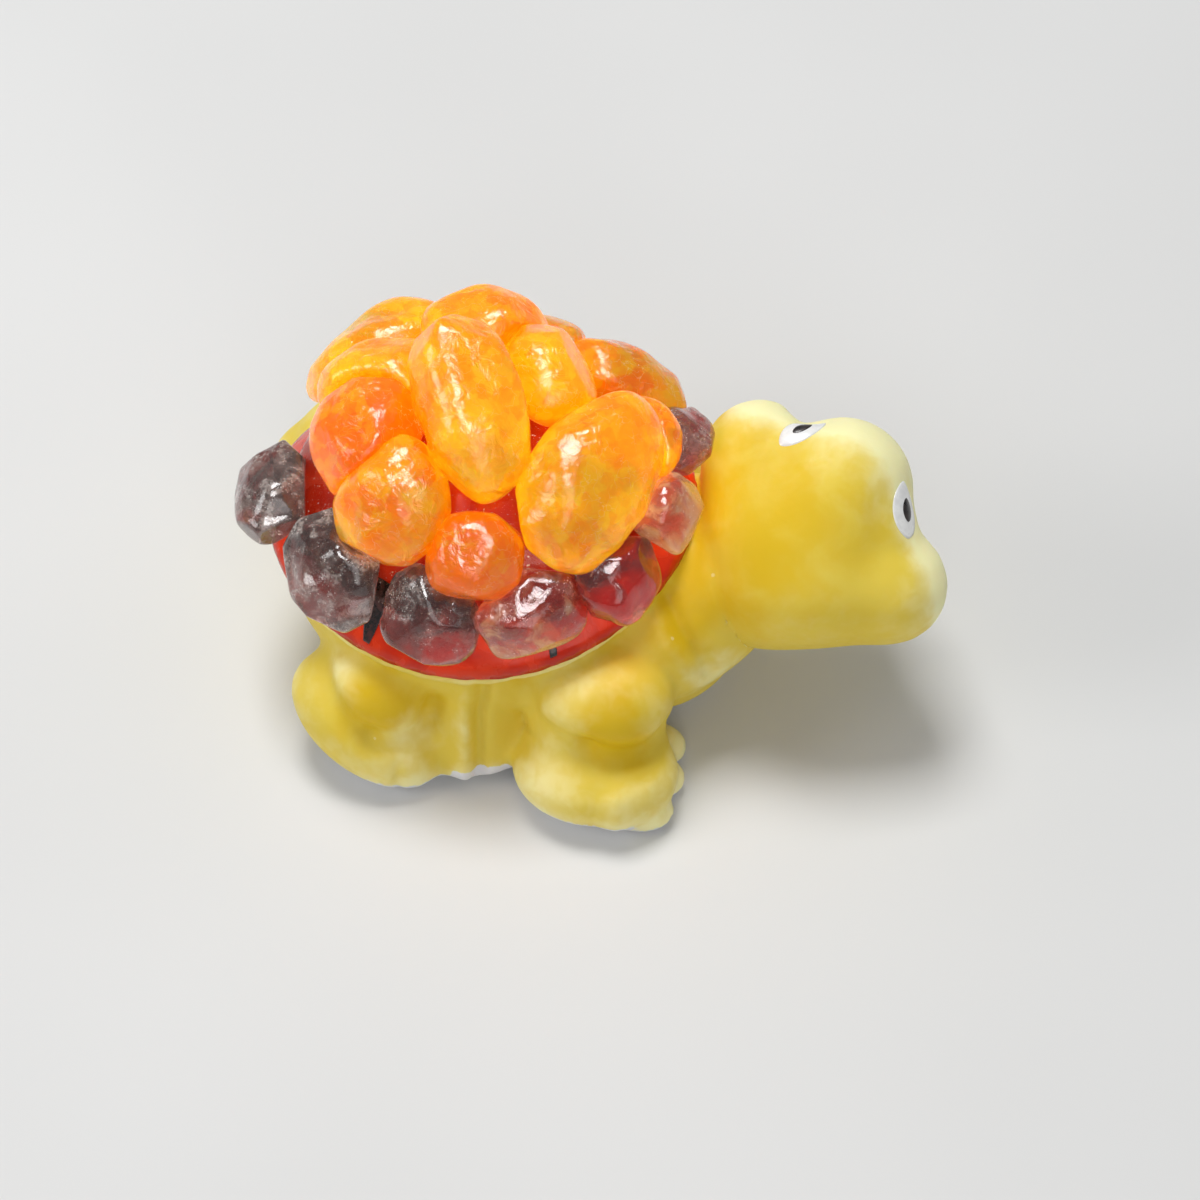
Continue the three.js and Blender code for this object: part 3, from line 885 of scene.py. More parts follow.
@dataclass
class Casting:
    """The yellow turtle under the stones. Lengths are in millimetres, turns are parts of a normal."""

    site: Site
    mesh: Mesh = field(init=False)
    skin_mm: float = 0.24
    softness: int = 7
    toe_swell: float = 0.35
    toe_start: Span = (8.5, 9.5)
    toe_heights: Span = (4.5, 3.5)
    head_start: Span = (12.5, 14.0)
    crown_facing: Point = (0.0, -0.56, 0.83)
    crown_turn: Span = (0.4, 0.75)
    crown_fills: tuple[int, ...] = (500, 300)
    toe_fills: tuple[int, ...] = (120, 60)
    foot_fills: tuple[int, ...] = (20,)
    fill_softness: int = 8
    socket_depth: float = 1.6
    socket_ring: Span = (1.34, 1.9)
    socket_hole: float = 1.38
    socket_blend: float = 1.75
    socket_softness: int = 14
    crease_steps: int = 24
    ridge_rounds: int = 60
    ridge_softness: int = 10
    ridge_mm: float = 0.22
    ridge_range: Span = (0.2, 1.0)
    ridge_worn: float = 0.4
    # Hollows get more ochre: painted shade.
    groove_range: Span = (0.2, 1.2)
    groove_painted_shade: float = 0.4
    foot_heights: Span = (2.6, 0.2)
    foot_worn: float = 0.55
    # Paler paint on the head's upper, far-facing edges: painted light.
    brim_start: Span = (13.0, 15.0)
    brim_turn: Span = (0.96, 0.21)
    brim_facing: Point = (0.35, 0.85, 0.4)
    brim_side: Span = (-0.45, 0.55)
    brim_heights: Span = (6.0, 9.0)
    brim_light_strength: float = 2.1
    brim_limit: float = 0.85
    under_turn: Span = (0.0, -0.625)
    under_heights: Span = (2.4, 1.2)
    bare_height: float = 1.75
    bare_reach: float = 1.6
    bare_middle: float = 1.4
    bare_softness: int = 2
    creases: tuple[Crease, ...] = (
        Crease(((0.6, -10.2, 8.6), (0.5, -10.8, 5.0), (0.5, -11.3, 1.4)), 0.5, -0.26),
        Crease(((1.6, -10.2, 8.8), (1.5, -10.8, 5.0), (1.4, -11.3, 1.2)), 0.38, 0.42),
        Crease(((11.3, -4.7, 11.6), (12.2, -5.7, 10.0), (13.0, -6.1, 8.6), (13.9, -5.8, 6.6)), 0.55, 0.42),
        Crease(((10.6, -5.7, 10.8), (11.6, -6.6, 9.3), (12.4, -6.9, 7.6)), 0.6, -0.2),
        Crease(((-8.2, -9.0, 7.6), (-7.3, -10.5, 6.6), (-6.2, -11.6, 5.7), (-4.7, -12.0, 4.8)), 0.9, 0.5),
        Crease(((-4.7, -12.0, 4.8), (-3.1, -11.6, 4.5), (-1.9, -10.6, 4.6), (-1.4, -9.9, 6.0)), 0.8, 0.4),
        Crease(((3.4, -9.7, 8.6), (4.1, -10.1, 6.4), (5.9, -11.4, 6.2), (7.6, -11.8, 5.8)), 0.9, 0.42),
        Crease(((7.6, -11.8, 5.8), (9.6, -11.5, 5.2), (11.0, -10.6, 4.9), (12.0, -9.3, 5.2)), 0.9, 0.5),
        Crease(((17.9, 4.6, 16.6), (17.6, 6.0, 16.2), (17.2, 7.2, 15.0)), 0.9, 0.5, False),
        Crease(((-3.4, -11.6, 2.8), (-3.3, -12.0, 1.8), (-3.2, -12.0, 0.5)), 0.28, 0.12),
    )
    # Ochre on the thigh and arm bulges, and at the neck as painted shade.
    ochre_and_shade_spots: tuple[Spot, ...] = (
        Spot((-4.2, -11.3, 6.8), 2.2, 1.2),
        Spot((9.0, -11.1, 7.0), 2.2, 1.2),
        Spot((12.3, -5.1, 10.3), 2.2, 0.8),
    )
    # Painted light: paler spots on the legs and the chest where shade falls.
    painted_light_spots: tuple[Spot, ...] = (
        Spot((6.6, -9.2, 9.2), 2.2, 0.3),
        Spot((-6.8, -9.3, 8.2), 1.8, 0.35),
        Spot((-2.6, -11.2, 4.4), 1.8, 0.5),
        Spot((5.4, -12.0, 4.4), 2.2, 0.4),
        Spot((13.9, -5.8, 6.4), 1.8, 0.5),
    )
    jowl: Spot = Spot((15.8, -3.8, 7.2), 2.3, 0.7)
    crown: Spot = Spot((15.2, -1.2, 15.0), 5.4, 0.75)

    def build(self) -> Piece:
        """Make the dressed casting.

        Returns:
            The piece.
        """
        piece = merged_copy(self.site.mesh("turtle_casting"), "casting_skin")
        remesh(piece, self.skin_mm)
        self.mesh = piece.data
        move_to(self.mesh, smoothed(self.mesh, positions(self.mesh), self.softness))
        self.fill_hollows()
        for side in Side:
            self.close_socket(EyePlace.of(self.site, side))
        push(self.mesh, self.dab(self.jowl))
        self.press_creases()
        places = positions(self.mesh)
        places[:, 2] = np.maximum(places[:, 2], 0.0)
        move_to(self.mesh, places)
        self.mark_paint()
        finish_piece(piece, CastingPaint().material(), ["turtle_casting"])
        return piece

    def fill_hollows(self) -> None:
        """Level the top of the head and blend the toes into the feet."""
        places = positions(self.mesh)
        low = ramp(places[:, 2] / MM, *self.toe_heights)
        toes = low * ramp(self.site.ahead(places), *self.toe_start)
        push(self.mesh, toes * self.toe_swell)
        facing = normals(self.mesh) @ np.array(self.crown_facing)
        head = ramp(self.site.ahead(positions(self.mesh)), *self.head_start)
        crown = head * ramp(facing, *self.crown_turn)
        for share, fills in ((crown, self.crown_fills), (toes, self.toe_fills), (low, self.foot_fills)):
            for rounds in fills:
                self.level(share, rounds)

    def level(self, share: np.ndarray, rounds: int) -> None:
        """Fill hollows up towards a smoother skin.

        Args:
            share: How much of the filling each vertex gets.
            rounds: How often the smoother skin is relaxed.
        """
        places = positions(self.mesh)
        out = normals(self.mesh)
        rise = ((smoothed(self.mesh, places, rounds) - places) * out).sum(axis=1)
        rise = smoothed(self.mesh, (share * np.maximum(rise, 0.0))[:, None], self.fill_softness)
        move_to(self.mesh, places + out * rise)

    def close_socket(self, eye: EyePlace) -> None:
        """Carry the curve of the face across an eye's socket.

        Args:
            eye: The eye's place.
        """
        axes = np.array([eye.across, eye.upright, eye.outward])
        local = (positions(self.mesh) - np.array(eye.middle)) @ axes.T
        u, v, height = local.T
        radius = np.hypot(u, v) / eye.half_width
        near = np.abs(height) < self.socket_depth * eye.half_width
        ring = near & (radius > self.socket_ring[0]) & (radius < self.socket_ring[1])
        hole = near & (radius <= self.socket_hole)
        terms = np.stack([np.ones_like(u), u, v, u * u, u * v, v * v], axis=1)
        curve = np.linalg.lstsq(terms[ring], height[ring], rcond=None)[0]
        local[hole, 2] = terms[hole] @ curve
        soft = np.where(near & (radius < self.socket_blend), 0.5, 0.0)
        places = local @ axes + np.array(eye.middle)
        move_to(self.mesh, smoothed(self.mesh, places, self.socket_softness, soft))

    def press_creases(self) -> None:
        """Press the folds of the skin, most of them on both flanks."""
        tree = surface_tree(self.mesh)
        places = positions(self.mesh)
        raised = np.zeros(len(places))
        for crease in self.creases:
            for flank in FLANKS if crease.both_sides else FLANKS[1:]:
                corners = np.array([self.site.at(x, flank * y, z) for x, y, z in crease.line])
                line = [tree.find_nearest(Vector(p))[0] for p in resampled(corners, self.crease_steps)]
                away = distance_to_line(places, np.array(line)) / (crease.width * MM)
                raised -= crease.depth * np.exp(-(away**2))
        push(self.mesh, raised)

    def dab(self, spot: Spot, flank: float = 1.0) -> np.ndarray:
        """Measure how much of a spot each vertex has.

        Args:
            spot: The spot.
            flank: 1 for the spot itself and -1 for its twin on the other flank.

        Returns:
            One number per vertex, the spot's strength in its middle.
        """
        x, y, z = spot.at
        middle = np.array(self.site.at(x, flank * y, z))
        away = np.linalg.norm(positions(self.mesh) - middle, axis=1) / (spot.reach * MM)
        return spot.strength * np.exp(-(away**2))

    def dabs(self, spots: Sequence[Spot]) -> np.ndarray:
        """Add spots up, the same on both flanks."""
        return sum(self.dab(spot, flank) for spot in spots for flank in FLANKS)

    def mark_paint(self) -> None:
        """Store where the paint is thicker or painted with shade, where it shows wear or painted light, and
        where there is none.
        """
        places = positions(self.mesh)
        out = normals(self.mesh)
        ahead = self.site.ahead(places)
        height = places[:, 2] / MM
        proud = ((places - smoothed(self.mesh, places, self.ridge_rounds)) * out).sum(axis=1)
        ridge = smoothed(self.mesh, (proud / (self.ridge_mm * MM))[:, None], self.ridge_softness)[:, 0]
        thick_and_painted_shade = self.dabs(self.ochre_and_shade_spots) + self.dab(self.crown)
        pale = self.dabs(self.painted_light_spots)
        # Painted shade: more ochre in hollows; painted light: the pale spots take ochre away.
        store(self.mesh, "thick_and_painted_shade", thick_and_painted_shade + self.groove_painted_shade * ramp(-ridge, *self.groove_range) - pale)
        # Painted light: paler paint on the head's upper, far-facing edges.
        painted_brim_light = ramp(ahead, *self.brim_start) * ramp(out @ np.array(self.crown_facing), *self.brim_turn)
        painted_brim_light *= ramp(out @ np.array(self.brim_facing), *self.brim_side) * ramp(height, *self.brim_heights)
        worn_and_painted_light = self.ridge_worn * ramp(ridge, *self.ridge_range) * ramp(thick_and_painted_shade, 1.0, 0.0)
        worn_and_painted_light += pale + self.foot_worn * ramp(height, *self.foot_heights)
        store(self.mesh, "worn_and_painted_light", worn_and_painted_light + np.minimum(self.brim_light_strength * painted_brim_light, self.brim_limit))
        band = (np.abs(ahead - self.bare_middle) < self.bare_reach) & (height < self.bare_height)
        under = ramp(out[:, 2], *self.under_turn) * ramp(height, *self.under_heights)
        bare = smoothed(self.mesh, np.maximum(under, band)[:, None], self.bare_softness)
        store(self.mesh, "bare", bare[:, 0])


@dataclass(frozen=True)
class Drop:
    """A domed drop of enamel in an eye, its width and height as shares of the eye's."""

    name: str
    node: str
    finish: TwoTone
    wide: float
    high: float
    edge_mm: float
    crown_mm: float


@dataclass
class Eyes:
    """The painted eyes, laid on the finished face."""

    site: Site
    casting: Piece
    rings: int = 10
    sides: int = 48
    point: float = 1.3
    dome_power: float = 2.5
    sunk_mm: float = 0.08
    ray_start_mm: float = 3.0
    ray_reach_mm: float = 8.0
    left: Look = Look(lid=0.62, tilt_deg=38.0, rise_mm=0.4)
    right: Look = Look(lid=0.82, tilt_deg=0.0, rise_mm=-0.1)
    drops: tuple[Drop, ...] = (
        Drop("eye", "eye_white", EYE_WHITE, wide=1.0, high=1.0, edge_mm=0.02, crown_mm=0.15),
        Drop("iris", "pupil", PUPIL, wide=0.42, high=0.38, edge_mm=0.14, crown_mm=0.2),
    )

    def build(self) -> None:
        """Lay the whites and the pupils."""
        tree = surface_tree(self.casting.data)
        paints = [drop.finish.material() for drop in self.drops]
        for side, look in ((Side.LEFT, self.left), (Side.RIGHT, self.right)):
            eye = EyePlace.of(self.site, side).seen(look)
            for drop, paint in zip(self.drops, paints):
                piece = self.lay(tree, eye, drop, f"{drop.name}_{side.value}")
                finish_piece(piece, paint, [f"{drop.node}_{side.value}"])

    def lay(self, tree: BVHTree, eye: EyePlace, drop: Drop, name: str) -> Piece:
        """Lay one drop of enamel on the face.

        Args:
            tree: The face, for finding where the drop lands.
            eye: The eye's place.
            drop: The drop.
            name: The piece's name.

        Returns:
            The piece.
        """
        upper: list[Vector] = []
        lower: list[Vector] = []
        for ring in range(self.rings + 1):
            share = ring / self.rings
            dome = drop.edge_mm + (drop.crown_mm - drop.edge_mm) * (1.0 - share**self.dome_power)
            for step in range(self.sides if ring else 1):
                turn = 2.0 * math.pi * step / self.sides
                rise = math.copysign(abs(math.sin(turn)) ** self.point, math.sin(turn))
                flat = eye.across * (eye.half_width * drop.wide * share * math.cos(turn))
                flat = flat + eye.upright * (eye.half_height * drop.high * share * rise)
                place = eye.middle + flat
                start = place + eye.outward * (self.ray_start_mm * MM)
                spot = landed(tree, start, -eye.outward, self.ray_reach_mm * MM, place)
                upper.append(spot + eye.outward * (dome * MM))
                lower.append(spot - eye.outward * (self.sunk_mm * MM))
        faces: list[Face] = []
        for step in range(self.sides):
            after = (step + 1) % self.sides
            faces.append((0, 1 + step, 1 + after))
            for ring in range(1, self.rings):
                inner, outer = 1 + (ring - 1) * self.sides, 1 + ring * self.sides
                faces.append((inner + step, outer + step, outer + after, inner + after))
        return closed_sheet(name, upper, lower, faces)


@dataclass(frozen=True)
class Stroke:
    """A black brush stroke on the enamel: bearing, share of the way out and half width at each point."""

    name: str
    path: tuple[Point, ...]


@dataclass
class Shell:
    """The red enamel with its black strokes, and the adhesive over it. Plain lengths are in millimetres."""

    site: Site
    half_length: float = 12.25
    half_width: float = 10.75
    rim_height: float = 10.0
    ray_height: float = 40.0
    roundness: int = 2
    top_turn: float = 0.2
    coat_drop_mm: float = 0.27
    coat_spill_mm: float = 0.3
    spill_range: Span = (0.85, 1.0)
    spill_sag: float = 0.4
    bed_rise_mm: float = 0.1
    bed_sink_mm: float = 0.2
    stroke_rows: int = 24
    stroke_columns: int = 6
    stroke_rise_mm: float = 0.1
    stroke_sink_mm: float = 0.06
    strokes: tuple[Stroke, ...] = (
        Stroke(
            "stroke_long",
            ((-116.5, 0.78, 0.62), (-115.6, 0.88, 0.52), (-115.0, 0.95, 0.36), (-114.6, 0.99, 0.2)),
        ),
        Stroke("stroke_short", ((-62.8, 0.955, 0.14), (-62.8, 0.975, 0.22), (-63.0, 0.992, 0.2))),
        Stroke("stroke_far", ((78.0, 0.8, 0.4), (79.0, 0.9, 0.34), (80.0, 0.985, 0.16))),
    )

    def build(self) -> Piece:
        """Make the enamel, the strokes and the adhesive.

        Returns:
            The adhesive.
        """
        enamel = self.coat()
        black = BLACK_PAINT.material()
        tree = surface_tree(enamel.data)
        for stroke in self.strokes:
            finish_piece(self.brush(tree, stroke), black)
        return self.pour()

    def coat(self) -> Piece:
        """Make the enamel, which spills a little over the rim.

        Returns:
            The piece.
        """
        piece = merged_copy(self.site.mesh("shell_enamel"), "enamel_coat")
        subdivide(piece, self.roundness)
        places = positions(piece.data)
        places[normals(piece.data)[:, 2] < self.top_turn, 2] -= self.coat_drop_mm * MM
        flat = places[:, :2] - np.array(self.site.middle)[:2]
        far = np.hypot(flat[:, 0] / self.half_length, flat[:, 1] / self.half_width) / MM
        spill = ramp(far, *self.spill_range) * self.coat_spill_mm * MM
        places[:, :2] += flat * (spill / np.maximum(np.linalg.norm(flat, axis=1), TINY))[:, None]
        places[:, 2] -= self.spill_sag * spill
        move_to(piece.data, places)
        finish_piece(piece, RedEnamel().material(), ["shell_enamel"])
        return piece

    def brush(self, tree: BVHTree, stroke: Stroke) -> Piece:
        """Lay one black stroke on the enamel.

        Args:
            tree: The enamel's surface.
            stroke: The stroke.

        Returns:
            The piece.
        """
        upper: list[Vector] = []
        lower: list[Vector] = []
        for bearing, out, half in resampled(np.array(stroke.path), self.stroke_rows):
            east, north = math.cos(math.radians(bearing)), math.sin(math.radians(bearing))
            middle = Vector((self.half_length * out * east, self.half_width * out * north))
            for column in range(self.stroke_columns + 1):
                offset = half * (2.0 * column / self.stroke_columns - 1.0)
                place = middle + Vector((-north, east)) * offset
                start = self.site.at(place.x, place.y, self.ray_height)
                rim = self.site.at(place.x, place.y, self.rim_height)
                spot = landed(tree, start, -UP, self.ray_height * MM, rim)
                upper.append(spot + UP * (self.stroke_rise_mm * MM))
                lower.append(spot - UP * (self.stroke_sink_mm * MM))
        width = self.stroke_columns + 1
        faces: list[Face] = []
        for row in range(self.stroke_rows - 1):
            for first in range(row * width, row * width + self.stroke_columns):
                faces.append((first, first + width, first + width + 1, first + 1))
        return closed_sheet(stroke.name, upper, lower, faces)

    def pour(self) -> Piece:
        """Make the adhesive.

        Returns:
            The piece.
        """
        piece = merged_copy(self.site.mesh("adhesive_bed"), "adhesive_gel")
        subdivide(piece, self.roundness)
        places = positions(piece.data)
        top = normals(piece.data)[:, 2] > self.top_turn
        places[:, 2] += np.where(top, self.bed_rise_mm, -self.bed_sink_mm) * MM
        move_to(piece.data, places)
        finish_piece(piece, ClearAdhesive().material(), ["adhesive_bed"])
        return piece


@dataclass(frozen=True)
class Trim:
    """An end cut flat off a stone, square to the given way."""

    way: Point
    depth_mm: float


@dataclass
class Stones:
    """One sort of amber on the shell."""

    site: Site
    kind: Kind
    skin_mm: float
    softness: int
    swell_mm: float
    lump_mm: float
    lump_size_mm: float
    facets: int
    facet_depth: float
    facet_softness: int
    # Painted light and shade, by which way a face looks and by height.
    facing_painted_light: float
    low_painted_light: float
    tones: tuple[float, ...]
    frosts: tuple[float, ...] = ()
    trims: dict[int, Trim] = field(default_factory=dict)
    facet_range: Span = (0.4, 1.0)
    first_seed: int = 100
    lump_steps: Point = (3.1, 1.7, 0.9)
    even_broad: float = 0.4
    even_low: float = 0.5

    def build(self, material: Material, slot: str) -> list[Piece]:
        """Make every stone of this sort.

        Args:
            material: What the stones are made of.
            slot: Not used.

        Returns:
            The stones.
        """
        made = []
        for index, node in enumerate(sorted(n for n in self.site.nodes if n.startswith(self.kind.value))):
            piece = merged_copy(self.site.mesh(node), node.replace("stone", "gem"))
            remesh(piece, self.skin_mm)
            mesh = piece.data
            move_to(mesh, smoothed(mesh, positions(mesh), self.softness))
            self.lump(mesh, index)
            self.chip(mesh, index)
            self.tint(mesh, self.tones[index])
            if self.frosts:
                store(mesh, "frost", np.full(len(mesh.vertices), self.frosts[index]))
            finish_piece(piece, material, [node])
            piece.visible_shadow = False
            made.append(piece)
        return made

    def lump(self, mesh: Mesh, index: int) -> None:
        """Swell a stone a little and make it uneven.

        Args:
            mesh: The stone's mesh.
            index: The stone's number, which makes it unlike the others.
        """
        shift = Vector([step * index for step in self.lump_steps])
        scale = self.lump_size_mm * MM
        rough = np.array([clouds.noise(Vector(p) / scale + shift) for p in positions(mesh)])
        push(mesh, self.swell_mm + self.lump_mm * rough)

    def chip(self, mesh: Mesh, index: int) -> None:
        """Break flat faces off a stone.

        Args:
            mesh: The stone's mesh.
            index: The stone's number, which makes it unlike the others.
        """
        chances = np.random.default_rng(self.first_seed + index)
        places = positions(mesh)
        middle = places.mean(axis=0)
        for _ in range(self.facets):
            way = chances.normal(size=3)
            way /= np.linalg.norm(way)
            along = (places - middle) @ way
            limit = along.max() * (1.0 - self.facet_depth * chances.uniform(*self.facet_range))
            places -= np.maximum(along - limit, 0.0)[:, None] * way
        if index in self.trims:
            way = np.array(self.trims[index].way)
            along = (places - middle) @ way
            limit = along.max() - self.trims[index].depth_mm * MM
            places -= np.maximum(along - limit, 0.0)[:, None] * way
        move_to(mesh, smoothed(mesh, places, self.facet_softness))

    def tint(self, mesh: Mesh, tone: float) -> None:
        """Store how deep a stone's colour is, with painted light and shade by which way a face looks and how
        low it lies.

        Args:
            mesh: The stone's mesh.
            tone: The stone's own tone, from 0 to 1.
        """
        places = positions(mesh)
        _, axes = np.linalg.eigh(np.cov((places - places.mean(axis=0)).T))
        # Painted light and shade: the tone shifts on broad faces and with height.
        broad = np.abs(normals(mesh) @ axes[:, 0]) ** 2 - self.even_broad
        low = 1.0 - (places[:, 2] - places[:, 2].min()) / np.ptp(places[:, 2]) - self.even_low
        store(mesh, "tone", tone + self.facing_painted_light * broad + self.low_painted_light * low)


@dataclass(frozen=True)
class Scatter:
    """Small flakes scattered in or on pieces by a Geometry Nodes tree."""

    name: str
    per_square_mm: float
    smallest_mm: float
    largest_mm: float
    shallow_mm: float
    deep_mm: float
    flatness: float
    seed: int
    narrowness: float = 0.4

    def tree(self) -> bpy.types.NodeTree:
        """Build the tree, with a named input for each size.

        Returns:
            The tree.
        """
        tree = bpy.data.node_groups.new(self.name, "GeometryNodeTree")
        kinds = {"Pieces": "Geometry", "Density": "Float", "Smallest": "Float", "Largest": "Float"}
        kinds |= {"Shallowest": "Float", "Deepest": "Float", "Flatness": "Float"}
        kinds |= {"Seed": "Int", "Material": "Material"}
        for name, kind in kinds.items():
            tree.interface.new_socket(name, in_out="INPUT", socket_type=f"NodeSocket{kind}")
        tree.interface.new_socket("Flakes", in_out="OUTPUT", socket_type="NodeSocketGeometry")
        wiring = Wiring(tree)
        given = wiring.node("NodeGroupInput").outputs
        inputs = {"Mesh": given["Pieces"], "Density": given["Density"], "Seed": given["Seed"]}
        points = wiring.node("GeometryNodeDistributePointsOnFaces", inputs).outputs
        depth = self.draw(wiring, given, "Shallowest", "Deepest", 1)
        sink = wiring.node("ShaderNodeMath", {0: depth, 1: -1.0}, operation="MULTIPLY").outputs[0]
        inputs = {0: points["Normal"], "Scale": sink}
        inward = wiring.node("ShaderNodeVectorMath", inputs, operation="SCALE").outputs[0]
        inputs = {"Geometry": points["Points"], "Offset": inward}
        sunk = wiring.node("GeometryNodeSetPosition", inputs).outputs[0]
        grain = wiring.node("GeometryNodeMeshIcoSphere", {"Radius": 1.0, "Subdivisions": 1}).outputs["Mesh"]
        inputs = {0: 1.0, 1: self.narrowness, 2: given["Flatness"]}
        shape = wiring.node("ShaderNodeCombineXYZ", inputs).outputs[0]
        flake = wiring.node("GeometryNodeTransform", {"Geometry": grain, "Scale": shape}).outputs[0]
        inputs = {1: (2.0 * math.pi,) * 3, "Seed": given["Seed"]}
        turn = wiring.node("FunctionNodeRandomValue", inputs, data_type="FLOAT_VECTOR").outputs[0]
        size = self.draw(wiring, given, "Smallest", "Largest", 2)
        inputs = {"Points": sunk, "Instance": flake, "Rotation": turn, "Scale": size}
        placed = wiring.node("GeometryNodeInstanceOnPoints", inputs).outputs[0]
        real = wiring.node("GeometryNodeRealizeInstances", {0: placed}).outputs[0]
        inputs = {"Geometry": real, "Material": given["Material"]}
        dressed = wiring.node("GeometryNodeSetMaterial", inputs).outputs[0]
        wiring.node("NodeGroupOutput", {"Flakes": dressed})
        return tree

    def draw(self, wiring: Wiring, given: bpy.types.NodeOutputs, low: str, high: str, turn: int) -> Socket:
        """Add a random number between two of the tree's inputs.

        Args:
            wiring: The tree.
            given: The tree's inputs.
            low: The name of the input with the smallest number.
            high: The name of the input with the largest number.
            turn: What is added to the seed, so that no two draws are alike.

        Returns:
            The random number.
        """
        seed = wiring.node("ShaderNodeMath", {0: given["Seed"], 1: float(turn)}, operation="ADD").outputs[0]
        inputs = {2: given[low], 3: given[high], "Seed": seed}
        return wiring.node("FunctionNodeRandomValue", inputs, data_type="FLOAT").outputs[1]

    def build(self, pieces: Sequence[Piece], material: Material, slot: str) -> None:
        """Scatter the flakes over pieces.

        Args:
            pieces: The pieces.
            material: What the flakes are made of.
            slot: Not used.
        """
        joint = bmesh.new()
        for piece in pieces:
            joint.from_mesh(piece.data)
        mesh = bpy.data.meshes.new(self.name)
        joint.to_mesh(mesh)
        joint.free()
        flakes = linked(self.name, mesh)
        step = flakes.modifiers.new("scatter", "NODES")
        step.node_group = self.tree()
        values = {
            "Density": self.per_square_mm / (MM * MM),
            "Smallest": self.smallest_mm * MM,
            "Largest": self.largest_mm * MM,
            "Shallowest": self.shallow_mm * MM,
            "Deepest": self.deep_mm * MM,
            "Flatness": self.flatness,
            "Seed": self.seed,
            "Material": material,
        }
        for socket in step.node_group.interface.items_tree:
            if socket.in_out == "INPUT" and socket.name in values:
                step[socket.identifier] = values[socket.name]
        bake_modifiers(flakes)
        finish_piece(flakes, material)


@dataclass(frozen=True)
class Lamp:
    """A soft square lamp aimed at the turtle, which may show in the stones' gloss alone."""

    name: str
    place: Point
    size: float
    power: float
    gloss_only: bool = False

    def hang(self, target: Vector, stones: Sequence[Piece]) -> None:
        """Put the lamp up.

        Args:
            target: What it is aimed at.
            stones: The only pieces that a lamp for gloss lights.
        """
        light = bpy.data.lights.new(self.name, "AREA")
        light.shape = "SQUARE"
        light.size = self.size
        light.energy = self.power
        lamp = bpy.data.objects.new(self.name, light)
        lamp.location = self.place
        if self.gloss_only:
            lamp.visible_diffuse = False
            lamp.visible_transmission = False
            lit = bpy.data.collections.new(self.name)
            for stone in stones:
                lit.objects.link(stone)
            lamp.light_linking.receiver_collection = lit
        lamp.rotation_euler = (target - Vector(self.place)).to_track_quat("-Z", "Y").to_euler()
        bpy.context.scene.collection.objects.link(lamp)


@dataclass
class Studio:
    """Floor, lamps and camera, in metres apart from the two targets."""

    site: Site
    stones: Sequence[Piece]
    round_deg: float = 8.0
    above_deg: float = 52.0
    distance: float = 0.2
    lens: float = 105.6
    sensor: float = 36.0
    nearest: float = 0.01
    aim: Point = (7.31, -3.82, 9.5)
    lamp_target: Point = (4.0, 0.0, 8.0)
    floor_half: float = 1.5
    sky: Colour = (0.94, 0.96, 1.0)
    sky_strength: float = 0.24
    lamps: tuple[Lamp, ...] = (
        Lamp("overhead", (-0.04, 0.08, 0.30), size=0.12, power=0.68),
        Lamp("left_side", (-0.24, -0.10, 0.16), size=0.12, power=0.22),
        Lamp("front_fill", (0.10, -0.30, 0.22), size=0.24, power=0.34),
        Lamp("shine", (0.0, -0.10, 0.28), size=0.09, power=0.36, gloss_only=True),
    )

    def build(self) -> None:
        """Set the scene up."""
        self.lay_floor()
        for lamp in self.lamps:
            lamp.hang(self.site.at(*self.lamp_target), self.stones)
        world = bpy.data.worlds.new("studio")
        world.use_nodes = True
        background = world.node_tree.nodes["Background"].inputs
        background["Color"].default_value = (*self.sky, 1.0)
        background["Strength"].default_value = self.sky_strength
        bpy.context.scene.world = world
        bpy.context.scene.view_settings.view_transform = "Standard"
        self.place_camera()

    def lay_floor(self) -> None:
        """Lay a plain pale floor."""
        half = self.floor_half
        plan = ((-half, -half), (half, -half), (half, half), (-half, half))
        corners = [Vector((x, y, 0.0)) for x, y in plan]
        floor = new_piece("floor", corners, [(0, 1, 2, 3)])
        floor.data.materials.append(PALE_FLOOR.material())

    def place_camera(self) -> None:
        """Look at the turtle from the photograph's side and height."""
        turn, rise = math.radians(self.round_deg), math.radians(self.above_deg)
        back = Vector((math.sin(turn) * math.cos(rise), -math.cos(turn) * math.cos(rise), math.sin(rise)))
        right = Vector((math.cos(turn), math.sin(turn), 0.0))
        data = bpy.data.cameras.new("camera")
        data.lens = self.lens
        data.sensor_width = self.sensor
        data.clip_start = self.nearest
        camera = bpy.data.objects.new("camera", data)
        turned = Matrix((right, back.cross(right), back)).transposed().to_4x4()
        camera.matrix_world = Matrix.Translation(self.site.at(*self.aim) + back * self.distance) @ turned
        bpy.context.scene.collection.objects.link(camera)
        bpy.context.scene.camera = camera


ORANGE_TONES = (0.38, 0.42, 0.6, 0.95, 1.0, 0.5, 0.5, 0.3, 0.3, 0.75, 0.6, 0.5, 0.7)
CHERRY_TONES = (0.02, 0.06, 0.24, 0.78, 0.52, 0.95, 0.36, 0.3, 0.5, 0.2, 0.6, 0.1)
CHERRY_FROSTS = (0.7, 0.75, 0.55, 0.4, 0.1, 0.35, 0.6, 0.4, 0.3, 0.5, 0.3, 0.5)

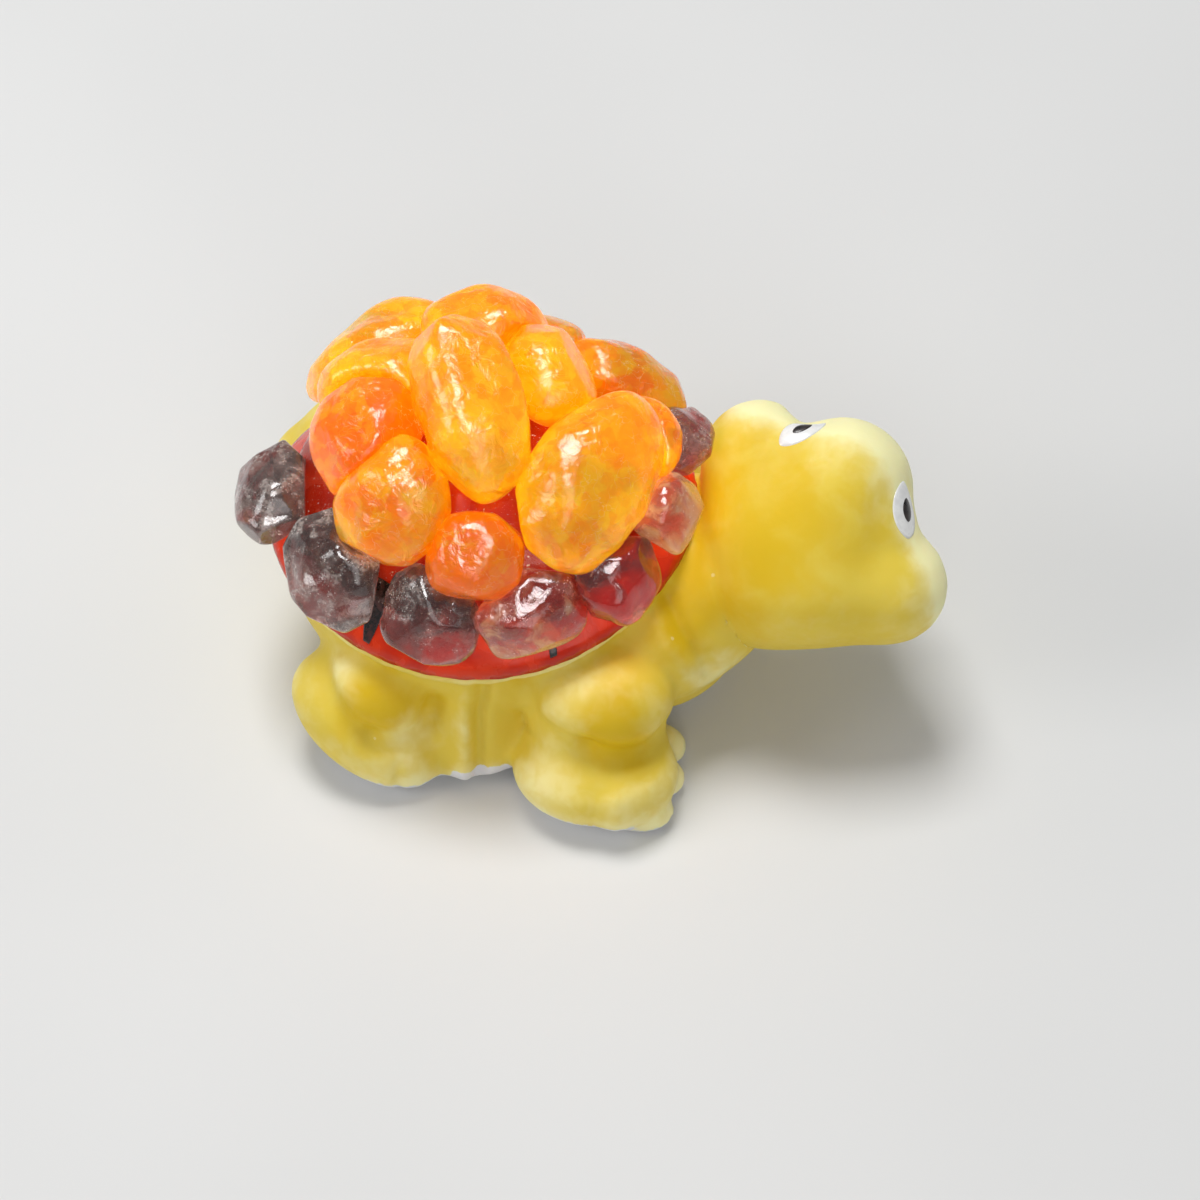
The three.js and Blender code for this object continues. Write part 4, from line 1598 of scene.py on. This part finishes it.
AMBER_FLAKES = Scatter(
    "amber_flakes",
    per_square_mm=0.7,
    smallest_mm=0.03,
    largest_mm=0.12,
    shallow_mm=0.05,
    deep_mm=0.4,
    flatness=0.1,
    seed=4,
)
CHERRY_DUST = Scatter(
    "cherry_dust",
    per_square_mm=1.2,
    smallest_mm=0.006,
    largest_mm=0.022,
    shallow_mm=-0.006,
    deep_mm=0.012,
    flatness=0.5,
    seed=7,
)
CAUGHT_DUST = Scatter(
    "caught_dust",
    per_square_mm=3.0,
    smallest_mm=0.01,
    largest_mm=0.05,
    shallow_mm=-0.02,
    deep_mm=0.01,
    flatness=0.4,
    seed=9,
)


def orange_stones(site: Site) -> Stones:
    """Describe the clear orange heap.

    Args:
        site: Where the turtle stands.

    Returns:
        The stones, not yet built.
    """
    return Stones(
        site,
        Kind.ORANGE,
        skin_mm=0.18,
        softness=8,
        swell_mm=0.24,
        lump_mm=0.3,
        lump_size_mm=2.0,
        facets=8,
        facet_depth=0.13,
        facet_softness=5,
        # Painted light: broad faces and lower parts yellower, rims deeper orange.
        facing_painted_light=-0.15,
        low_painted_light=-0.15,
        tones=ORANGE_TONES,
    )


def cherry_stones(site: Site) -> Stones:
    """Describe the dark ring.

    Args:
        site: Where the turtle stands.

    Returns:
        The stones, not yet built.
    """
    return Stones(
        site,
        Kind.CHERRY,
        skin_mm=0.15,
        softness=4,
        swell_mm=0.2,
        lump_mm=0.2,
        lump_size_mm=1.4,
        facets=12,
        facet_depth=0.17,
        facet_softness=4,
        facing_painted_light=0.0,
        # Painted light: lower parts redder, as if the red enamel shone through.
        low_painted_light=0.5,
        tones=CHERRY_TONES,
        frosts=CHERRY_FROSTS,
        trims={1: Trim((0.95, 0.1, -0.3), depth_mm=0.8)},
    )


def main() -> None:
    """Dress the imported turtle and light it."""
    logging.basicConfig(level=logging.INFO, format="%(name)s: %(message)s")
    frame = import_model()
    site = Site(frame["nodes"])
    casting = Casting(site).build()
    Eyes(site, casting).build()
    bed = Shell(site).build()
    heap = orange_stones(site).build(OrangeAmber().material(), "orange_amber")
    ring = cherry_stones(site).build(CherryAmber().material(), "cherry_amber")
    AMBER_FLAKES.build(heap, GOLD_FLAKE.material(), "orange_amber")
    dust = DUST_GRAIN.material()
    CHERRY_DUST.build(ring, dust, "cherry_amber")
    CAUGHT_DUST.build([bed], dust, "adhesive")
    Studio(site, [*heap, *ring]).build()


if __name__ == "__main__":
    main()
